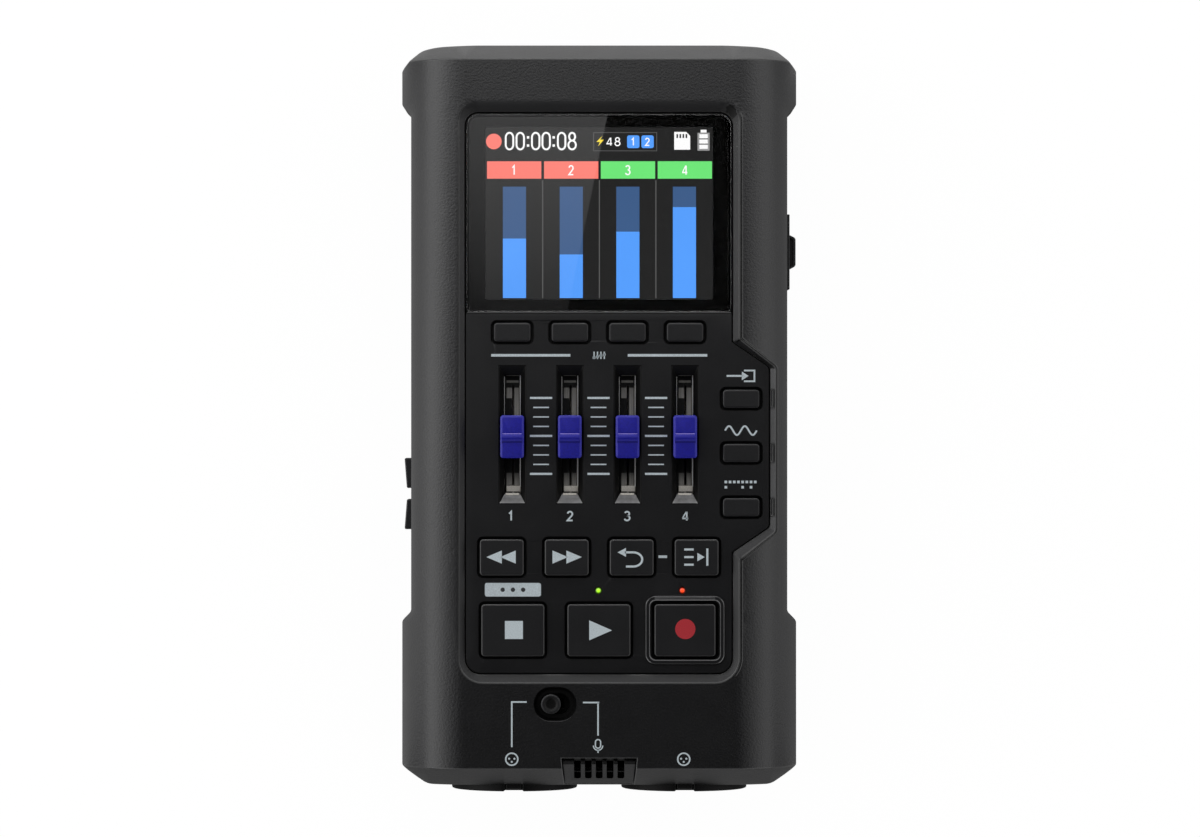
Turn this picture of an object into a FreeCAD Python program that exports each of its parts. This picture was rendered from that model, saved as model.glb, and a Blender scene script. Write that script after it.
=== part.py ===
import FreeCAD, Part
import math
import os
import re
import Sketcher

# Hand-held four-track recorder, lying on its back.
# Millimetres. +Z is the way the control face looks, +Y runs to the display end, +X is the face's right.
# The origin is on the surface that the recorder lies on, under the middle of its outer box.

Vector = FreeCAD.Vector
X_AXIS, Y_AXIS, Z_AXIS = Vector(1, 0, 0), Vector(0, 1, 0), Vector(0, 0, 1)
doc = FreeCAD.newDocument("recorder")
sheet = doc.addObject("Spreadsheet::Sheet", "Sizes")
PARTS = {}


# Driving dimensions. Each has a name with an underscore, so that the expressions below can find it.

def sizes(group, *rows):
    """Write one named group of sizes to the sheet: name, value in mm, what it is."""
    row = sizes.next_row
    sheet.set("A%d" % row, group)
    for number, (alias, size, note) in enumerate(rows, row + 1):
        sheet.set("A%d" % number, alias)
        sheet.set("B%d" % number, str(size))
        sheet.setAlias("B%d" % number, alias)
        sheet.set("C%d" % number, note)
    sizes.next_row = row + len(rows) + 2


sizes.next_row = 1

sizes(
    "casing",
    ("bumper_wide", 76.2, "width over the bumpers at the two ends"),
    ("waist_wide", 72.4, "width of the narrower middle"),
    ("flat_wide", 51.2, "width of the flat middle strip of the front"),
    ("front_z", 42.0, "flat front face"),
    ("back_z", 1.0, "flat back face, above the feet"),
    ("parting_z", 20.0, "joint line between the two casings"),
    ("back_round", 4.0, "radius along the back edges"),
    ("wall_thick", 2.0, "casing wall"),
    ("top_y", 71.9, "end face at the display end"),
    ("top_crease_y", 68.55, "where the front face turns into the top bevel"),
    ("low_y", -70.6, "end face at the jack end"),
    ("low_crease_y", -66.8, "where the front face turns into the lower bevel"),
    ("bevel_front_z", 30.0, "where the front bevels meet the end faces"),
    ("bevel_back_z", 8.0, "where the back bevels meet the end faces"),
    ("bumper_top_y", 60.9, "start of the step at the upper bumper"),
    ("bumper_low_y", -39.5, "start of the step at the lower bumper"),
    ("bumper_step", 2.8, "length of the step from bumper to waist"),
    ("corner_top", 4.9, "how far the corner at the display end runs down the side"),
    ("corner_low_x", 4.9, "corner at the jack end, along the end face"),
    ("corner_low_y", 3.85, "corner at the jack end, along the side"),
    ("lip_high", 1.5, "lip of the rear casing inside the front casing"),
)
sizes(
    "control recess",
    ("panel_z", 41.0, "surface of the control panel"),
    ("panel_thick", 2.0, "control panel plate"),
    ("panel_left", -25.6, "left edge of the recess floor"),
    ("panel_right", 25.45, "right edge of the recess floor"),
    ("panel_top", 58.4, "upper edge of the recess floor"),
    ("panel_low", -48.75, "lower edge of the recess floor"),
    ("bulge_x", 32.55, "right edge of the bulge beside the three function keys"),
    ("bulge_top_y", 9.8, "upper corner of the bulge"),
    ("bulge_low_y", -20.7, "lower corner of the bulge"),
    ("slant_top_y", 14.6, "where the upper slant leaves the right edge"),
    ("slant_low_y", -25.5, "where the lower slant meets the right edge"),
    ("rim_side", 1.3, "width of the sloped rim at the sides"),
    ("rim_top", 2.0, "width of the sloped rim at the top"),
    ("rim_low", 1.65, "width of the sloped rim at the bottom"),
    ("crest_wide", 0.45, "flat crest round the rim, also where the bulge stands off the side"),
    ("ledge_wide", 1.0, "ledge that the panel and the window rest on"),
    ("ledge_z", 36.6, "underside of the ledge"),
    ("fit_gap", 0.12, "gap round inset pieces"),
)
sizes(
    "display",
    ("window_low_y", 20.4, "lower edge of the window"),
    ("window_z", 41.2, "front of the window"),
    ("screen_wide", 43.3, "picture area, across"),
    ("screen_tall", 32.8, "picture area, along"),
    ("screen_y", 39.2, "middle of the picture area"),
    ("screen_z", 38.7, "front of the display module"),
    ("module_wide", 47.0, "display module, across"),
    ("module_tall", 36.0, "display module, along"),
    ("module_thick", 2.6, "display module"),
)
sizes(
    "keys",
    ("key_gap", 0.42, "groove round each key"),
    ("flange_wide", 0.6, "how far the hidden flange stands out from the key"),
    ("flange_thick", 0.7, "hidden flange of a key"),
    ("flange_z", 38.1, "underside of the flange at rest"),
    ("key_travel", 0.6, "how far a key goes down to its rubber pad"),
    ("key_round", 0.65, "corner radius of the small keys"),
    ("key_edge", 0.3, "rounding of the top edges"),
    ("track_wide", 7.2, "track key, across"),
    ("track_tall", 3.6, "track key, along"),
    ("track_y", 16.44, "row of the track keys"),
    ("track_pitch", 10.98, "spacing of the four track keys and faders"),
    ("track_mid_x", -0.1, "middle of the four tracks"),
    ("small_top_z", 41.55, "top of the small keys"),
    ("side_key_x", 27.08, "column of the three function keys"),
    ("side_key_wide", 7.2, "function key, across"),
    ("side_key_tall", 3.5, "function key, along"),
    ("side_key_y", -6.58, "middle function key"),
    ("side_pitch", 10.34, "spacing of the function keys"),
    ("mid_key_y", -26.47, "row of the four middle keys"),
    ("mid_key_wide", 8.4, "middle key, across"),
    ("mid_key_tall", 6.9, "middle key, along"),
    ("mid_pitch", 12.38, "spacing of the middle keys"),
    ("mid_top_z", 41.8, "top of the middle keys"),
    ("big_key_y", -40.35, "row of the three large keys"),
    ("big_key_wide", 12.05, "stop and play key, across"),
    ("big_key_tall", 9.95, "large key, along"),
    ("record_wide", 11.65, "record key, across"),
    ("big_pitch", 16.4, "spacing of the large keys"),
    ("big_mid_x", -0.05, "middle of the large keys"),
    ("big_top_z", 42.0, "top of the large keys"),
    ("frame_wide", 15.15, "raised frame round the record key, across"),
    ("frame_tall", 13.1, "raised frame, along"),
    ("frame_width", 1.0, "width of the frame's ridge"),
    ("frame_high", 0.4, "height of the frame's ridge"),
    ("light_y", -32.8, "row of the two lights"),
    ("light_radius", 0.57, "light pipe"),
    ("light_step", 0.5, "how far each light stands left of its key's middle"),
)
sizes(
    "faders",
    ("fader_y", -3.45, "middle of the fader travel"),
    ("fader_travel", 14.5, "whole travel of a fader"),
    ("slot_wide", 3.2, "slot through the panel, across"),
    ("slot_long", 22.6, "slot through the panel, along"),
    ("slot_y", -3.05, "middle of the slot"),
    ("frame_mid_y", -3.3, "middle of the metal fader frame"),
    ("funnel_wide", 5.1, "mouth of the slot's sloped sides, across"),
    ("funnel_long", 26.3, "mouth of the slot's sloped sides, along"),
    ("frame_x", 6.8, "metal fader frame, across"),
    ("frame_y", 29.0, "metal fader frame, along"),
    ("frame_z", 5.4, "metal fader frame, height"),
    ("frame_sheet", 0.5, "sheet of the fader frame"),
    ("frame_slit", 1.5, "slit that the lever runs in"),
    ("lever_wide", 1.2, "lever, across"),
    ("lever_long", 4.0, "lever, along"),
    ("cap_wide", 4.5, "fader cap, across"),
    ("cap_long", 8.15, "fader cap, along"),
    ("cap_low_z", 41.3, "underside of the cap's head"),
    ("cap_face_z", 43.7, "finger faces of the cap"),
    ("cap_top_z", 44.8, "ridge across the cap"),
    ("ridge_long", 1.95, "ridge at its foot, along"),
    ("ridge_top", 0.75, "ridge at its top, along"),
    ("stem_wide", 2.5, "stem of the cap, across"),
    ("stem_long", 6.0, "stem of the cap, along"),
)
sizes(
    "board and mat",
    ("board_z", 30.2, "underside of the main board"),
    ("board_thick", 1.6, "main board"),
    ("board_left", -32.4, "left edge of the board"),
    ("board_right", 32.6, "right edge of the board"),
    ("board_top_y", 63.0, "upper edge of the board"),
    ("board_low_y", -58.5, "lower edge of the board"),
    ("board_step_y", -36.0, "where the board narrows beside the jacks"),
    ("board_step_x", 2.6, "how much it narrows on each side"),
    ("mat_thick", 1.0, "base sheet of the rubber mat"),
    ("mat_left", -24.4, "left edge of the mat"),
    ("mat_right", 24.2, "right edge of the mat"),
    ("mat_low_y", -47.4, "lower edge of the mat"),
    ("mat_top_y", 19.3, "upper edge of the mat"),
    ("mat_arm_x", 31.18, "right edge of the mat's arm under the function keys"),
    ("mat_arm_low_y", -21.8, "lower edge of that arm"),
    ("mat_arm_top_y", 8.6, "upper edge of that arm"),
    ("pads_wide", 40.8, "window in the mat for the faders, across"),
)
sizes(
    "input switch",
    ("switch_x", -8.4, "middle of the switch recess"),
    ("switch_y", -54.4, "row of the switch"),
    ("dish_wide", 8.2, "recess round the knob, across"),
    ("dish_tall", 6.5, "recess round the knob, along"),
    ("dish_deep", 1.3, "depth of the recess"),
    ("knob_round", 1.9, "radius of the knob"),
    ("knob_shift", 0.8, "rest place of the knob, left of the middle"),
    ("knob_top_z", 42.3, "top of the knob"),
    ("knob_foot", 1.2, "length of the knob below the recess"),
    ("selector_wide", 8.6, "switch body, across"),
    ("selector_long", 4.4, "switch body, along"),
    ("selector_tall", 3.8, "switch body, in height"),
    ("selector_stem", 1.2, "stem between knob and switch, across"),
)
sizes(
    "jacks",
    ("jack_x", 16.5, "each jack, from the middle"),
    ("jack_z", 18.0, "height of the jacks' axes"),
    ("ring_radius", 12.2, "outer ring of a jack"),
    ("ring_y", -71.9, "outer face of the ring"),
    ("ring_long", 5.0, "length of the ring"),
    ("barrel_radius", 11.4, "barrel behind the ring"),
    ("barrel_y", -40.5, "inner end of the barrel"),
    ("mouth_radius", 9.7, "mouth for a three-pin plug's shell"),
    ("mouth_deep", 17.0, "depth of the mouth"),
    ("core_radius", 7.75, "contact core in the mouth"),
    ("core_set", 0.9, "how far the core stands back from the ring's face"),
    ("plug_radius", 3.25, "bore for a 6.35 mm plug"),
    ("plug_deep", 29.0, "length of that bore"),
    ("pin_radius", 1.3, "three pin holes"),
    ("pin_circle", 5.35, "radius of the circle of pin holes"),
    ("pin_deep", 13.0, "depth of the pin holes"),
    ("tab_wide", 3.4, "notch for the release tab"),
    ("tab_travel", 1.0, "how far the release tab goes in"),
)
sizes(
    "microphone",
    ("grille_wide", 14.4, "grille at its upper edge"),
    ("grille_narrow", 12.9, "grille at its lower edge"),
    ("notch_y", -64.75, "upper edge of the notch that the grille sits in"),
    ("grille_top_y", -65.9, "upper edge of the grille plate"),
    ("grille_top_z", 41.4, "the same, in height"),
    ("grille_low_y", -70.4, "lower edge of the grille plate"),
    ("grille_thick", 1.2, "grille plate"),
    ("grille_slot", 1.25, "width of a sound slot"),
    ("grille_pitch", 2.08, "spacing of the sound slots"),
    ("capsule_radius", 3.0, "microphone capsule"),
    ("capsule_long", 2.7, "microphone capsule"),
)
sizes(
    "side controls",
    ("side_mid_z", 25.6, "height of the side keys and the power switch"),
    ("volume_mid_y", -14.5, "middle of the two volume keys"),
    ("volume_long", 5.8, "one volume key"),
    ("volume_split", 2.15, "space between the two volume keys"),
    ("volume_tall", 5.0, "one volume key, in height"),
    ("volume_out", 1.4, "how far a volume key stands out"),
    ("volume_travel", 0.5, "how far a volume key goes in"),
    ("power_y", 32.15, "middle of the power switch"),
    ("plate_long", 14.5, "power switch plate, along"),
    ("plate_tall", 6.4, "power switch plate, in height"),
    ("plate_out", 0.55, "how far the plate stands out"),
    ("knob_long", 7.2, "power switch knob, along"),
    ("knob_tall", 4.0, "power switch knob, in height"),
    ("knob_out", 1.75, "how far the knob stands out"),
    ("power_travel", 2.0, "knob travel each way"),
)
sizes(
    "battery bay",
    ("cell_radius", 7.25, "battery cell"),
    ("cell_long", 49.2, "battery cell without its nub"),
    ("cell_pitch", 14.8, "spacing of the four cells"),
    ("nub_radius", 2.6, "positive nub"),
    ("nub_long", 1.3, "positive nub"),
    ("bay_wide", 60.0, "battery bay, across"),
    ("bay_low_y", 9.0, "lower end of the bay"),
    ("bay_top_y", 66.0, "upper end of the bay"),
    ("bay_top_z", 18.6, "roof of the bay"),
    ("bay_wall", 1.2, "wall and roof of the bay"),
    ("door_wide", 62.0, "battery door, across"),
    ("door_low_y", 5.6, "lower edge of the door"),
    ("door_top_y", 67.6, "upper edge of the door"),
    ("door_thick", 1.8, "battery door"),
    ("tongue_out", 0.8, "tongue along each side of the door"),
    ("tongue_thick", 0.8, "the same, in height"),
    ("door_travel", 6.0, "how far the door slides before it lifts off"),
)
sizes(
    "sockets, feet, screws",
    ("socket_z", 25.5, "height of the sockets' axes"),
    ("phones_x", 20.0, "headphone jack on the display end"),
    ("phones_radius", 1.8, "bore for a 3.5 mm plug"),
    ("phones_deep", 14.0, "length of that bore"),
    ("usb_x", -18.0, "power and data socket on the display end"),
    ("usb_wide", 8.94, "its metal shell, across"),
    ("usb_tall", 3.26, "its metal shell, in height"),
    ("card_y", -2.0, "memory card socket on the right side"),
    ("card_wide", 12.0, "its slot, along"),
    ("card_tall", 1.6, "its slot, in height"),
    ("foot_radius", 3.75, "rubber foot"),
    ("foot_x", 23.0, "feet, from the middle"),
    ("foot_low_y", -56.0, "lower pair of feet"),
    ("foot_top_y", 58.0, "upper pair of feet"),
    ("foot_sunk", 0.5, "how far a foot is let into its seat"),
    ("screw_low_x", 31.8, "lower pair of screws"),
    ("screw_low_y", -61.5, "lower pair of screws"),
    ("screw_mid_x", 29.8, "upper pair of screws"),
    ("screw_mid_y", -31.5, "upper pair of screws"),
    ("screw_radius", 1.0, "screw shank"),
    ("head_radius", 1.9, "screw head"),
    ("head_thick", 1.4, "screw head"),
    ("post_radius", 2.7, "screw post of the casings"),
)
doc.recompute()


# Small helpers: names in an expression are cells of the sheet.

def bound(text):
    """The expression with each size's name pointed at the sheet."""
    return re.sub(r"\b([a-z]+(?:_[a-z0-9]+)+)\b", r"Sizes.\1", text)


def mm(text):
    """The value of an expression now."""
    result = sheet.evalExpression(bound(text))
    return float(getattr(result, "Value", result))


def bind(thing, **formulas):
    for name, text in formulas.items():
        thing.setExpression(name, bound(text))
    return thing


def place(thing, x="0", y="0", z="0", turn=None):
    """Bind a Placement to the sheet; turn is an axis and an angle in degrees."""
    if turn:
        thing.Placement = FreeCAD.Placement(Vector(0, 0, 0), FreeCAD.Rotation(*turn))
    for letter, text in zip("xyz", (x, y, z)):
        thing.setExpression(".Placement.Base." + letter, bound(text))
    return thing


def keep(label, thing):
    """Give a finished sub-part its label, which also names its file."""
    thing.Label = label
    PARTS[label] = thing
    return thing


def box(wide, long, tall, x="0", y="0", z="0"):
    """A block centred on x and y, standing on z."""
    block = doc.addObject("Part::Box", "block")
    bind(block, Length=wide, Width=long, Height=tall)
    return place(block, "%s - (%s) / 2" % (x, wide), "%s - (%s) / 2" % (y, long), z)


def centred(wide, long, tall, x, y, z):
    """A block centred on the point all three ways."""
    return box(wide, long, tall, x, y, "%s - (%s) / 2" % (z, tall))


def rod(radius, length, x="0", y="0", z="0", axis="Z"):
    """A cylinder that starts at the point and runs along +X, +Y or +Z."""
    turns = {"X": (Y_AXIS, 90), "Y": (X_AXIS, -90), "Z": None}
    cylinder = doc.addObject("Part::Cylinder", "rod")
    bind(cylinder, Radius=radius, Height=length)
    return place(cylinder, x, y, z, turns[axis])


def shape(solid, name="shape"):
    """A finished shape that only Part's own functions can make."""
    feature = doc.addObject("Part::Feature", name)
    feature.Shape = solid
    return feature


def cut(base, tool):
    result = doc.addObject("Part::Cut", "cut")
    result.Base, result.Tool = base, tool
    return result


def join(*things):
    result = doc.addObject("Part::MultiFuse", "join")
    result.Shapes = list(things)
    return result


def group(*things):
    """Separate solids that are one node."""
    result = doc.addObject("Part::Compound", "group")
    result.Links = list(things)
    return result


# Sketches and pads for the moulded and pressed pieces.

def body(label):
    return keep(label, doc.addObject("PartDesign::Body", label))


def sketch_on(host, role, name):
    plane = [f for f in host.Origin.OriginFeatures if f.Role == role][0]
    sketch = host.newObject("Sketcher::SketchObject", name)
    sketch.AttachmentSupport = [(plane, "")]
    sketch.MapMode = "FlatFace"
    return sketch


def drive(sketch, kind, *args):
    """Add one dimension; the last argument is its expression."""
    text = args[-1]
    index = sketch.addConstraint(Sketcher.Constraint(kind, *args[:-1], mm(text)))
    sketch.setExpression("Constraints[%d]" % index, bound(text))


def draw_polygon(sketch, points):
    """Closed run of straight lines through points given as pairs of expressions."""
    first = sketch.GeometryCount
    spots = [Vector(mm(x), mm(y), 0) for x, y in points]
    count = len(points)
    for i in range(count):
        sketch.addGeometry(Part.LineSegment(spots[i], spots[(i + 1) % count]), False)
    for i in range(count):
        sketch.addConstraint(Sketcher.Constraint("Coincident", first + i, 2, first + (i + 1) % count, 1))
    for i, (x, y) in enumerate(points):
        drive(sketch, "DistanceX", -1, 1, first + i, 1, x)
        drive(sketch, "DistanceY", -1, 1, first + i, 1, y)


def rectangle(wide, tall, x="0", y="0"):
    """Corner points, counter-clockwise, of a rectangle centred on x and y."""
    half_x, half_y = "(%s) / 2" % wide, "(%s) / 2" % tall
    return [
        ("%s - %s" % (x, half_x), "%s - %s" % (y, half_y)),
        ("%s + %s" % (x, half_x), "%s - %s" % (y, half_y)),
        ("%s + %s" % (x, half_x), "%s + %s" % (y, half_y)),
        ("%s - %s" % (x, half_x), "%s + %s" % (y, half_y)),
    ]


def pad(host, name, points, length, down=False, role="XY_Plane"):
    sketch = sketch_on(host, role, name + "_sketch")
    draw_polygon(sketch, points)
    feature = host.newObject("PartDesign::Pad", name)
    feature.Profile = sketch
    feature.Reversed = down
    return bind(feature, Length=length)


def edges_where(feature, test):
    doc.recompute()
    edges = feature.Shape.Edges
    return ["Edge%d" % (i + 1) for i, edge in enumerate(edges) if test(edge.BoundBox)]


def round_edges(host, name, test, radius):
    """Round the edges of the host's last feature whose box passes the test."""
    tip = host.Tip
    fillet = host.newObject("PartDesign::Fillet", name)
    fillet.Base = (tip, edges_where(tip, test))
    bind(fillet, Radius=radius)
    doc.recompute()
    return fillet


def upright(low, high):
    """Test for upright edges that run from one height to the other."""
    def test(b):
        return max(b.XLength, b.YLength, abs(b.ZMin - low), abs(b.ZMax - high)) < 0.01
    return test


def upright_at(high, *rows):
    """The same from height 0, at any of the given y."""
    standing = upright(0, high)
    return lambda b: standing(b) and min(abs(b.YMin - y) for y in rows) < 0.01


def level(height):
    """Test for edges that lie flat at a height."""
    return lambda b: b.ZLength < 0.001 and abs(b.ZMin - height) < 0.01


# Outlines with rounded corners, for the shapes that a pad can't make.

def outline(points, z):
    """Closed wire at height z through (x, y, corner radius) points, with an arc at each corner."""
    count = len(points)
    entries, exits, middles = [], [], []
    for i, (x, y, radius) in enumerate(points):
        corner = Vector(x, y, z)
        before = Vector(points[i - 1][0], points[i - 1][1], z) - corner
        after = Vector(points[(i + 1) % count][0], points[(i + 1) % count][1], z) - corner
        before.normalize()
        after.normalize()
        half = before.getAngle(after) / 2
        inward = (before + after).normalize()
        entries.append(corner + before * (radius / math.tan(half)))
        exits.append(corner + after * (radius / math.tan(half)))
        middles.append(corner + inward * (radius / math.sin(half) - radius))
    edges = []
    for i in range(count):
        edges.append(Part.Arc(entries[i], middles[i], exits[i]).toShape())
        edges.append(Part.makeLine(exits[i], entries[(i + 1) % count]))
    return Part.Wire(edges)


def prism(points, low, high):
    return Part.Face(outline(points, low)).extrude(Vector(0, 0, high - low))


def grown(points, by):
    """The outline points moved outwards by a distance; the corners' radii follow."""
    count = len(points)
    result = []
    for i, (x, y, radius) in enumerate(points):
        here = Vector(x, y, 0)
        into = here - Vector(points[i - 1][0], points[i - 1][1], 0)
        away = Vector(points[(i + 1) % count][0], points[(i + 1) % count][1], 0) - here
        into.normalize()
        away.normalize()
        out_a, out_b = Vector(into.y, -into.x, 0), Vector(away.y, -away.x, 0)
        shift = (out_a + out_b) * (by / (1 + out_a.dot(out_b)))
        convex = into.cross(away).z > 0
        new_radius = radius + by if convex else radius - by
        result.append((x + shift.x, y + shift.y, max(new_radius, 0.1)))
    return result


def draw_rounded(sketch, wide, tall, radius, x="0", y="0"):
    """Rectangle with rounded corners: four lines and four arcs, tangent all round."""
    first = sketch.GeometryCount
    half_x, half_y, r, mid_x, mid_y = mm(wide) / 2, mm(tall) / 2, mm(radius), mm(x), mm(y)
    flat_x, flat_y = half_x - r, half_y - r
    lines = [
        ((flat_x, half_y), (-flat_x, half_y)),
        ((-half_x, flat_y), (-half_x, -flat_y)),
        ((-flat_x, -half_y), (flat_x, -half_y)),
        ((half_x, -flat_y), (half_x, flat_y)),
    ]
    for start, end in lines:
        ends = [Vector(mid_x + a, mid_y + b, 0) for a, b in (start, end)]
        sketch.addGeometry(Part.LineSegment(*ends), False)
    corners = [(-flat_x, flat_y, 90), (-flat_x, -flat_y, 180), (flat_x, -flat_y, 270), (flat_x, flat_y, 0)]
    for a, b, angle in corners:
        circle = Part.Circle(Vector(mid_x + a, mid_y + b, 0), Z_AXIS, r)
        arc = Part.ArcOfCircle(circle, math.radians(angle), math.radians(angle + 90))
        sketch.addGeometry(arc, False)
    for i in range(4):
        line, arc, following = first + i, first + 4 + i, first + (i + 1) % 4
        sketch.addConstraint(Sketcher.Constraint("Tangent", line, 2, arc, 1))
        sketch.addConstraint(Sketcher.Constraint("Tangent", arc, 2, following, 1))
        sketch.addConstraint(Sketcher.Constraint("Vertical" if i % 2 else "Horizontal", line))
        if i:
            sketch.addConstraint(Sketcher.Constraint("Equal", first + 4, arc))
    drive(sketch, "Radius", first + 4, radius)
    drive(sketch, "DistanceX", -1, 1, first + 1, 1, "%s - (%s) / 2" % (x, wide))
    drive(sketch, "DistanceX", -1, 1, first + 3, 1, "%s + (%s) / 2" % (x, wide))
    drive(sketch, "DistanceY", -1, 1, first, 1, "%s + (%s) / 2" % (y, tall))
    drive(sketch, "DistanceY", -1, 1, first + 2, 1, "%s - (%s) / 2" % (y, tall))


def rounded_pad(host, name, wide, tall, radius, length, x="0", y="0", down=False):
    sketch = sketch_on(host, "XY_Plane", name + "_sketch")
    draw_rounded(sketch, wide, tall, radius, x, y)
    feature = host.newObject("PartDesign::Pad", name)
    feature.Profile = sketch
    feature.Reversed = down
    return bind(feature, Length=length)


def rounded_block(wide, tall, radius, length, x, y, z):
    """A tool: a block with rounded upright edges, standing on z."""
    host = doc.addObject("PartDesign::Body", "block")
    rounded_pad(host, "block_pad", wide, tall, radius, length)
    return place(host, x, y, z)


# Casing: one cross-section runs from end to end, widens at the bumpers and sinks to a bevel at both ends.

def cross_section(y, half, low, high, inset):
    """Wire across the body: flat front, two arcs round each side, straight wall, rounded edge, flat back."""
    half, low, high = half - inset, low + inset, high - inset
    flat = mm("flat_wide / 2")
    shoulder = mm("waist_wide / 2") - inset - flat
    turn = math.radians(50)
    bend_x, bend_z = flat + shoulder * math.sin(turn), high - shoulder * (1 - math.cos(turn))
    belly = (half - bend_x) / (1 - math.sin(turn))
    belly_z = bend_z - belly * math.cos(turn)
    back = mm("back_round") - inset
    first, second = turn / 2, (turn + math.pi / 2) / 2
    corner = math.sqrt(0.5)
    spots = [
        (flat, high),
        (flat + shoulder * math.sin(first), high - shoulder * (1 - math.cos(first))),
        (bend_x, bend_z),
        (half - belly * (1 - math.sin(second)), belly_z + belly * math.cos(second)),
        (half, belly_z),
        (half, low + back),
        (half - back * (1 - corner), low + back * (1 - corner)),
        (half - back, low),
    ]
    right = [Vector(x, y, z) for x, z in spots]
    left = [Vector(-x, y, z) for x, z in spots]
    edges = [
        Part.Arc(*right[0:3]).toShape(),
        Part.Arc(*right[2:5]).toShape(),
        Part.makeLine(*right[4:6]),
        Part.Arc(*right[5:8]).toShape(),
        Part.makeLine(right[7], left[7]),
        Part.Arc(*left[7:4:-1]).toShape(),
        Part.makeLine(left[5], left[4]),
        Part.Arc(*left[4:1:-1]).toShape(),
        Part.Arc(*left[2::-1]).toShape(),
        Part.makeLine(left[0], right[0]),
    ]
    return Part.Wire(edges)


def plan_outline(inset):
    """Seen from the front: the two bevelled corners at each end, as points with corner radii."""
    half, top, low = mm("bumper_wide / 2"), mm("top_y"), mm("low_y")
    drop, low_x, low_y = mm("corner_top"), mm("corner_low_x"), mm("corner_low_y")
    right = [
        (half - low_x, low, 3.0),
        (half, low + low_y, 0.8),
        (half, top - drop, 0.8),
        (half - 0.8 * drop, top - 0.22 * drop, 3.0),
        (half - 1.35 * drop, top - 0.07 * drop, 15.0),
        (half - 2.9 * drop, top, 40.0),
    ]
    left = [(-x, y, radius) for x, y, radius in reversed(right)]
    return grown(right + left, -inset) if inset else right + left


def hull(inset):
    """The casing as one solid, with every face moved inwards by the inset."""
    bumper, waist = mm("bumper_wide / 2"), mm("waist_wide / 2")
    back, front = mm("back_z"), mm("front_z")
    bevel_back, bevel_front = mm("bevel_back_z"), mm("bevel_front_z")
    step = mm("bumper_step")
    crease_low, crease_top = mm("low_crease_y") + inset, mm("top_crease_y") - inset

    def full(y, half):
        return cross_section(y, half, back, front, inset)

    def end(y):
        return cross_section(y, bumper, bevel_back, bevel_front, inset)

    def ease(y, share):
        """Station in a step: the width follows half a cosine from bumper to waist."""
        return full(y, waist + (bumper - waist) * (1 + math.cos(math.pi * share)) / 2)

    shares = [i / 6 for i in range(7)]
    upper, lower = mm("bumper_top_y"), mm("bumper_low_y")
    runs = [
        ([end(mm("low_y") + inset), full(crease_low, bumper)], True),
        ([full(crease_low, bumper), full(lower, bumper)], True),
        ([ease(lower + step * share, share) for share in shares], False),
        ([full(lower + step, waist), full(upper - step, waist)], True),
        ([ease(upper - step * share, share) for share in reversed(shares)], False),
        ([full(upper, bumper), full(crease_top, bumper)], True),
        ([full(crease_top, bumper), end(mm("top_y") - inset)], True),
    ]
    pieces = [Part.makeLoft(wires, True, ruled) for wires, ruled in runs]
    solid = pieces[0].multiFuse(pieces[1:])
    return solid.common(prism(plan_outline(inset), -1, mm("front_z") + 1)).removeSplitter()


def recess_floor():
    """Edge of the control recess's floor, counter-clockwise from the lower left."""
    left, right, top, low = mm("panel_left"), mm("panel_right"), mm("panel_top"), mm("panel_low")
    return [
        (left, low, 3.0),
        (right, low, 3.0),
        (right, mm("slant_low_y"), 0.8),
        (mm("bulge_x"), mm("bulge_low_y"), 1.2),
        (mm("bulge_x"), mm("bulge_top_y"), 1.2),
        (right, mm("slant_top_y"), 0.8),
        (right, top, 2.6),
        (left, top, 2.6),
    ]


def recess_rim():
    """Upper edge of the sloped rim: the floor's edge moved out, further at the top and the bottom."""
    side, top, low = mm("rim_side"), mm("rim_top"), mm("rim_low")
    left, right = mm("panel_left") - side, mm("panel_right") + side
    bulge = mm("bulge_x") + 0.85 * side
    return [
        (left, mm("panel_low") - low, 4.8),
        (right, mm("panel_low") - low, 4.8),
        (right, mm("slant_low_y") - side, 0.8),
        (bulge, mm("bulge_low_y") - 0.6 * side, 1.2),
        (bulge, mm("bulge_top_y"), 1.2),
        (right, mm("slant_top_y") + 0.4 * side, 0.8),
        (right, mm("panel_top") + top, 3.7),
        (left, mm("panel_top") + top, 3.7),
    ]


def casing_half(low, high, wall):
    """The part of a casing wall between two heights."""
    size = 200
    slab = Part.makeBox(size, size, high - low, Vector(-size / 2, -size / 2, low))
    return wall.common(slab)


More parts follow.
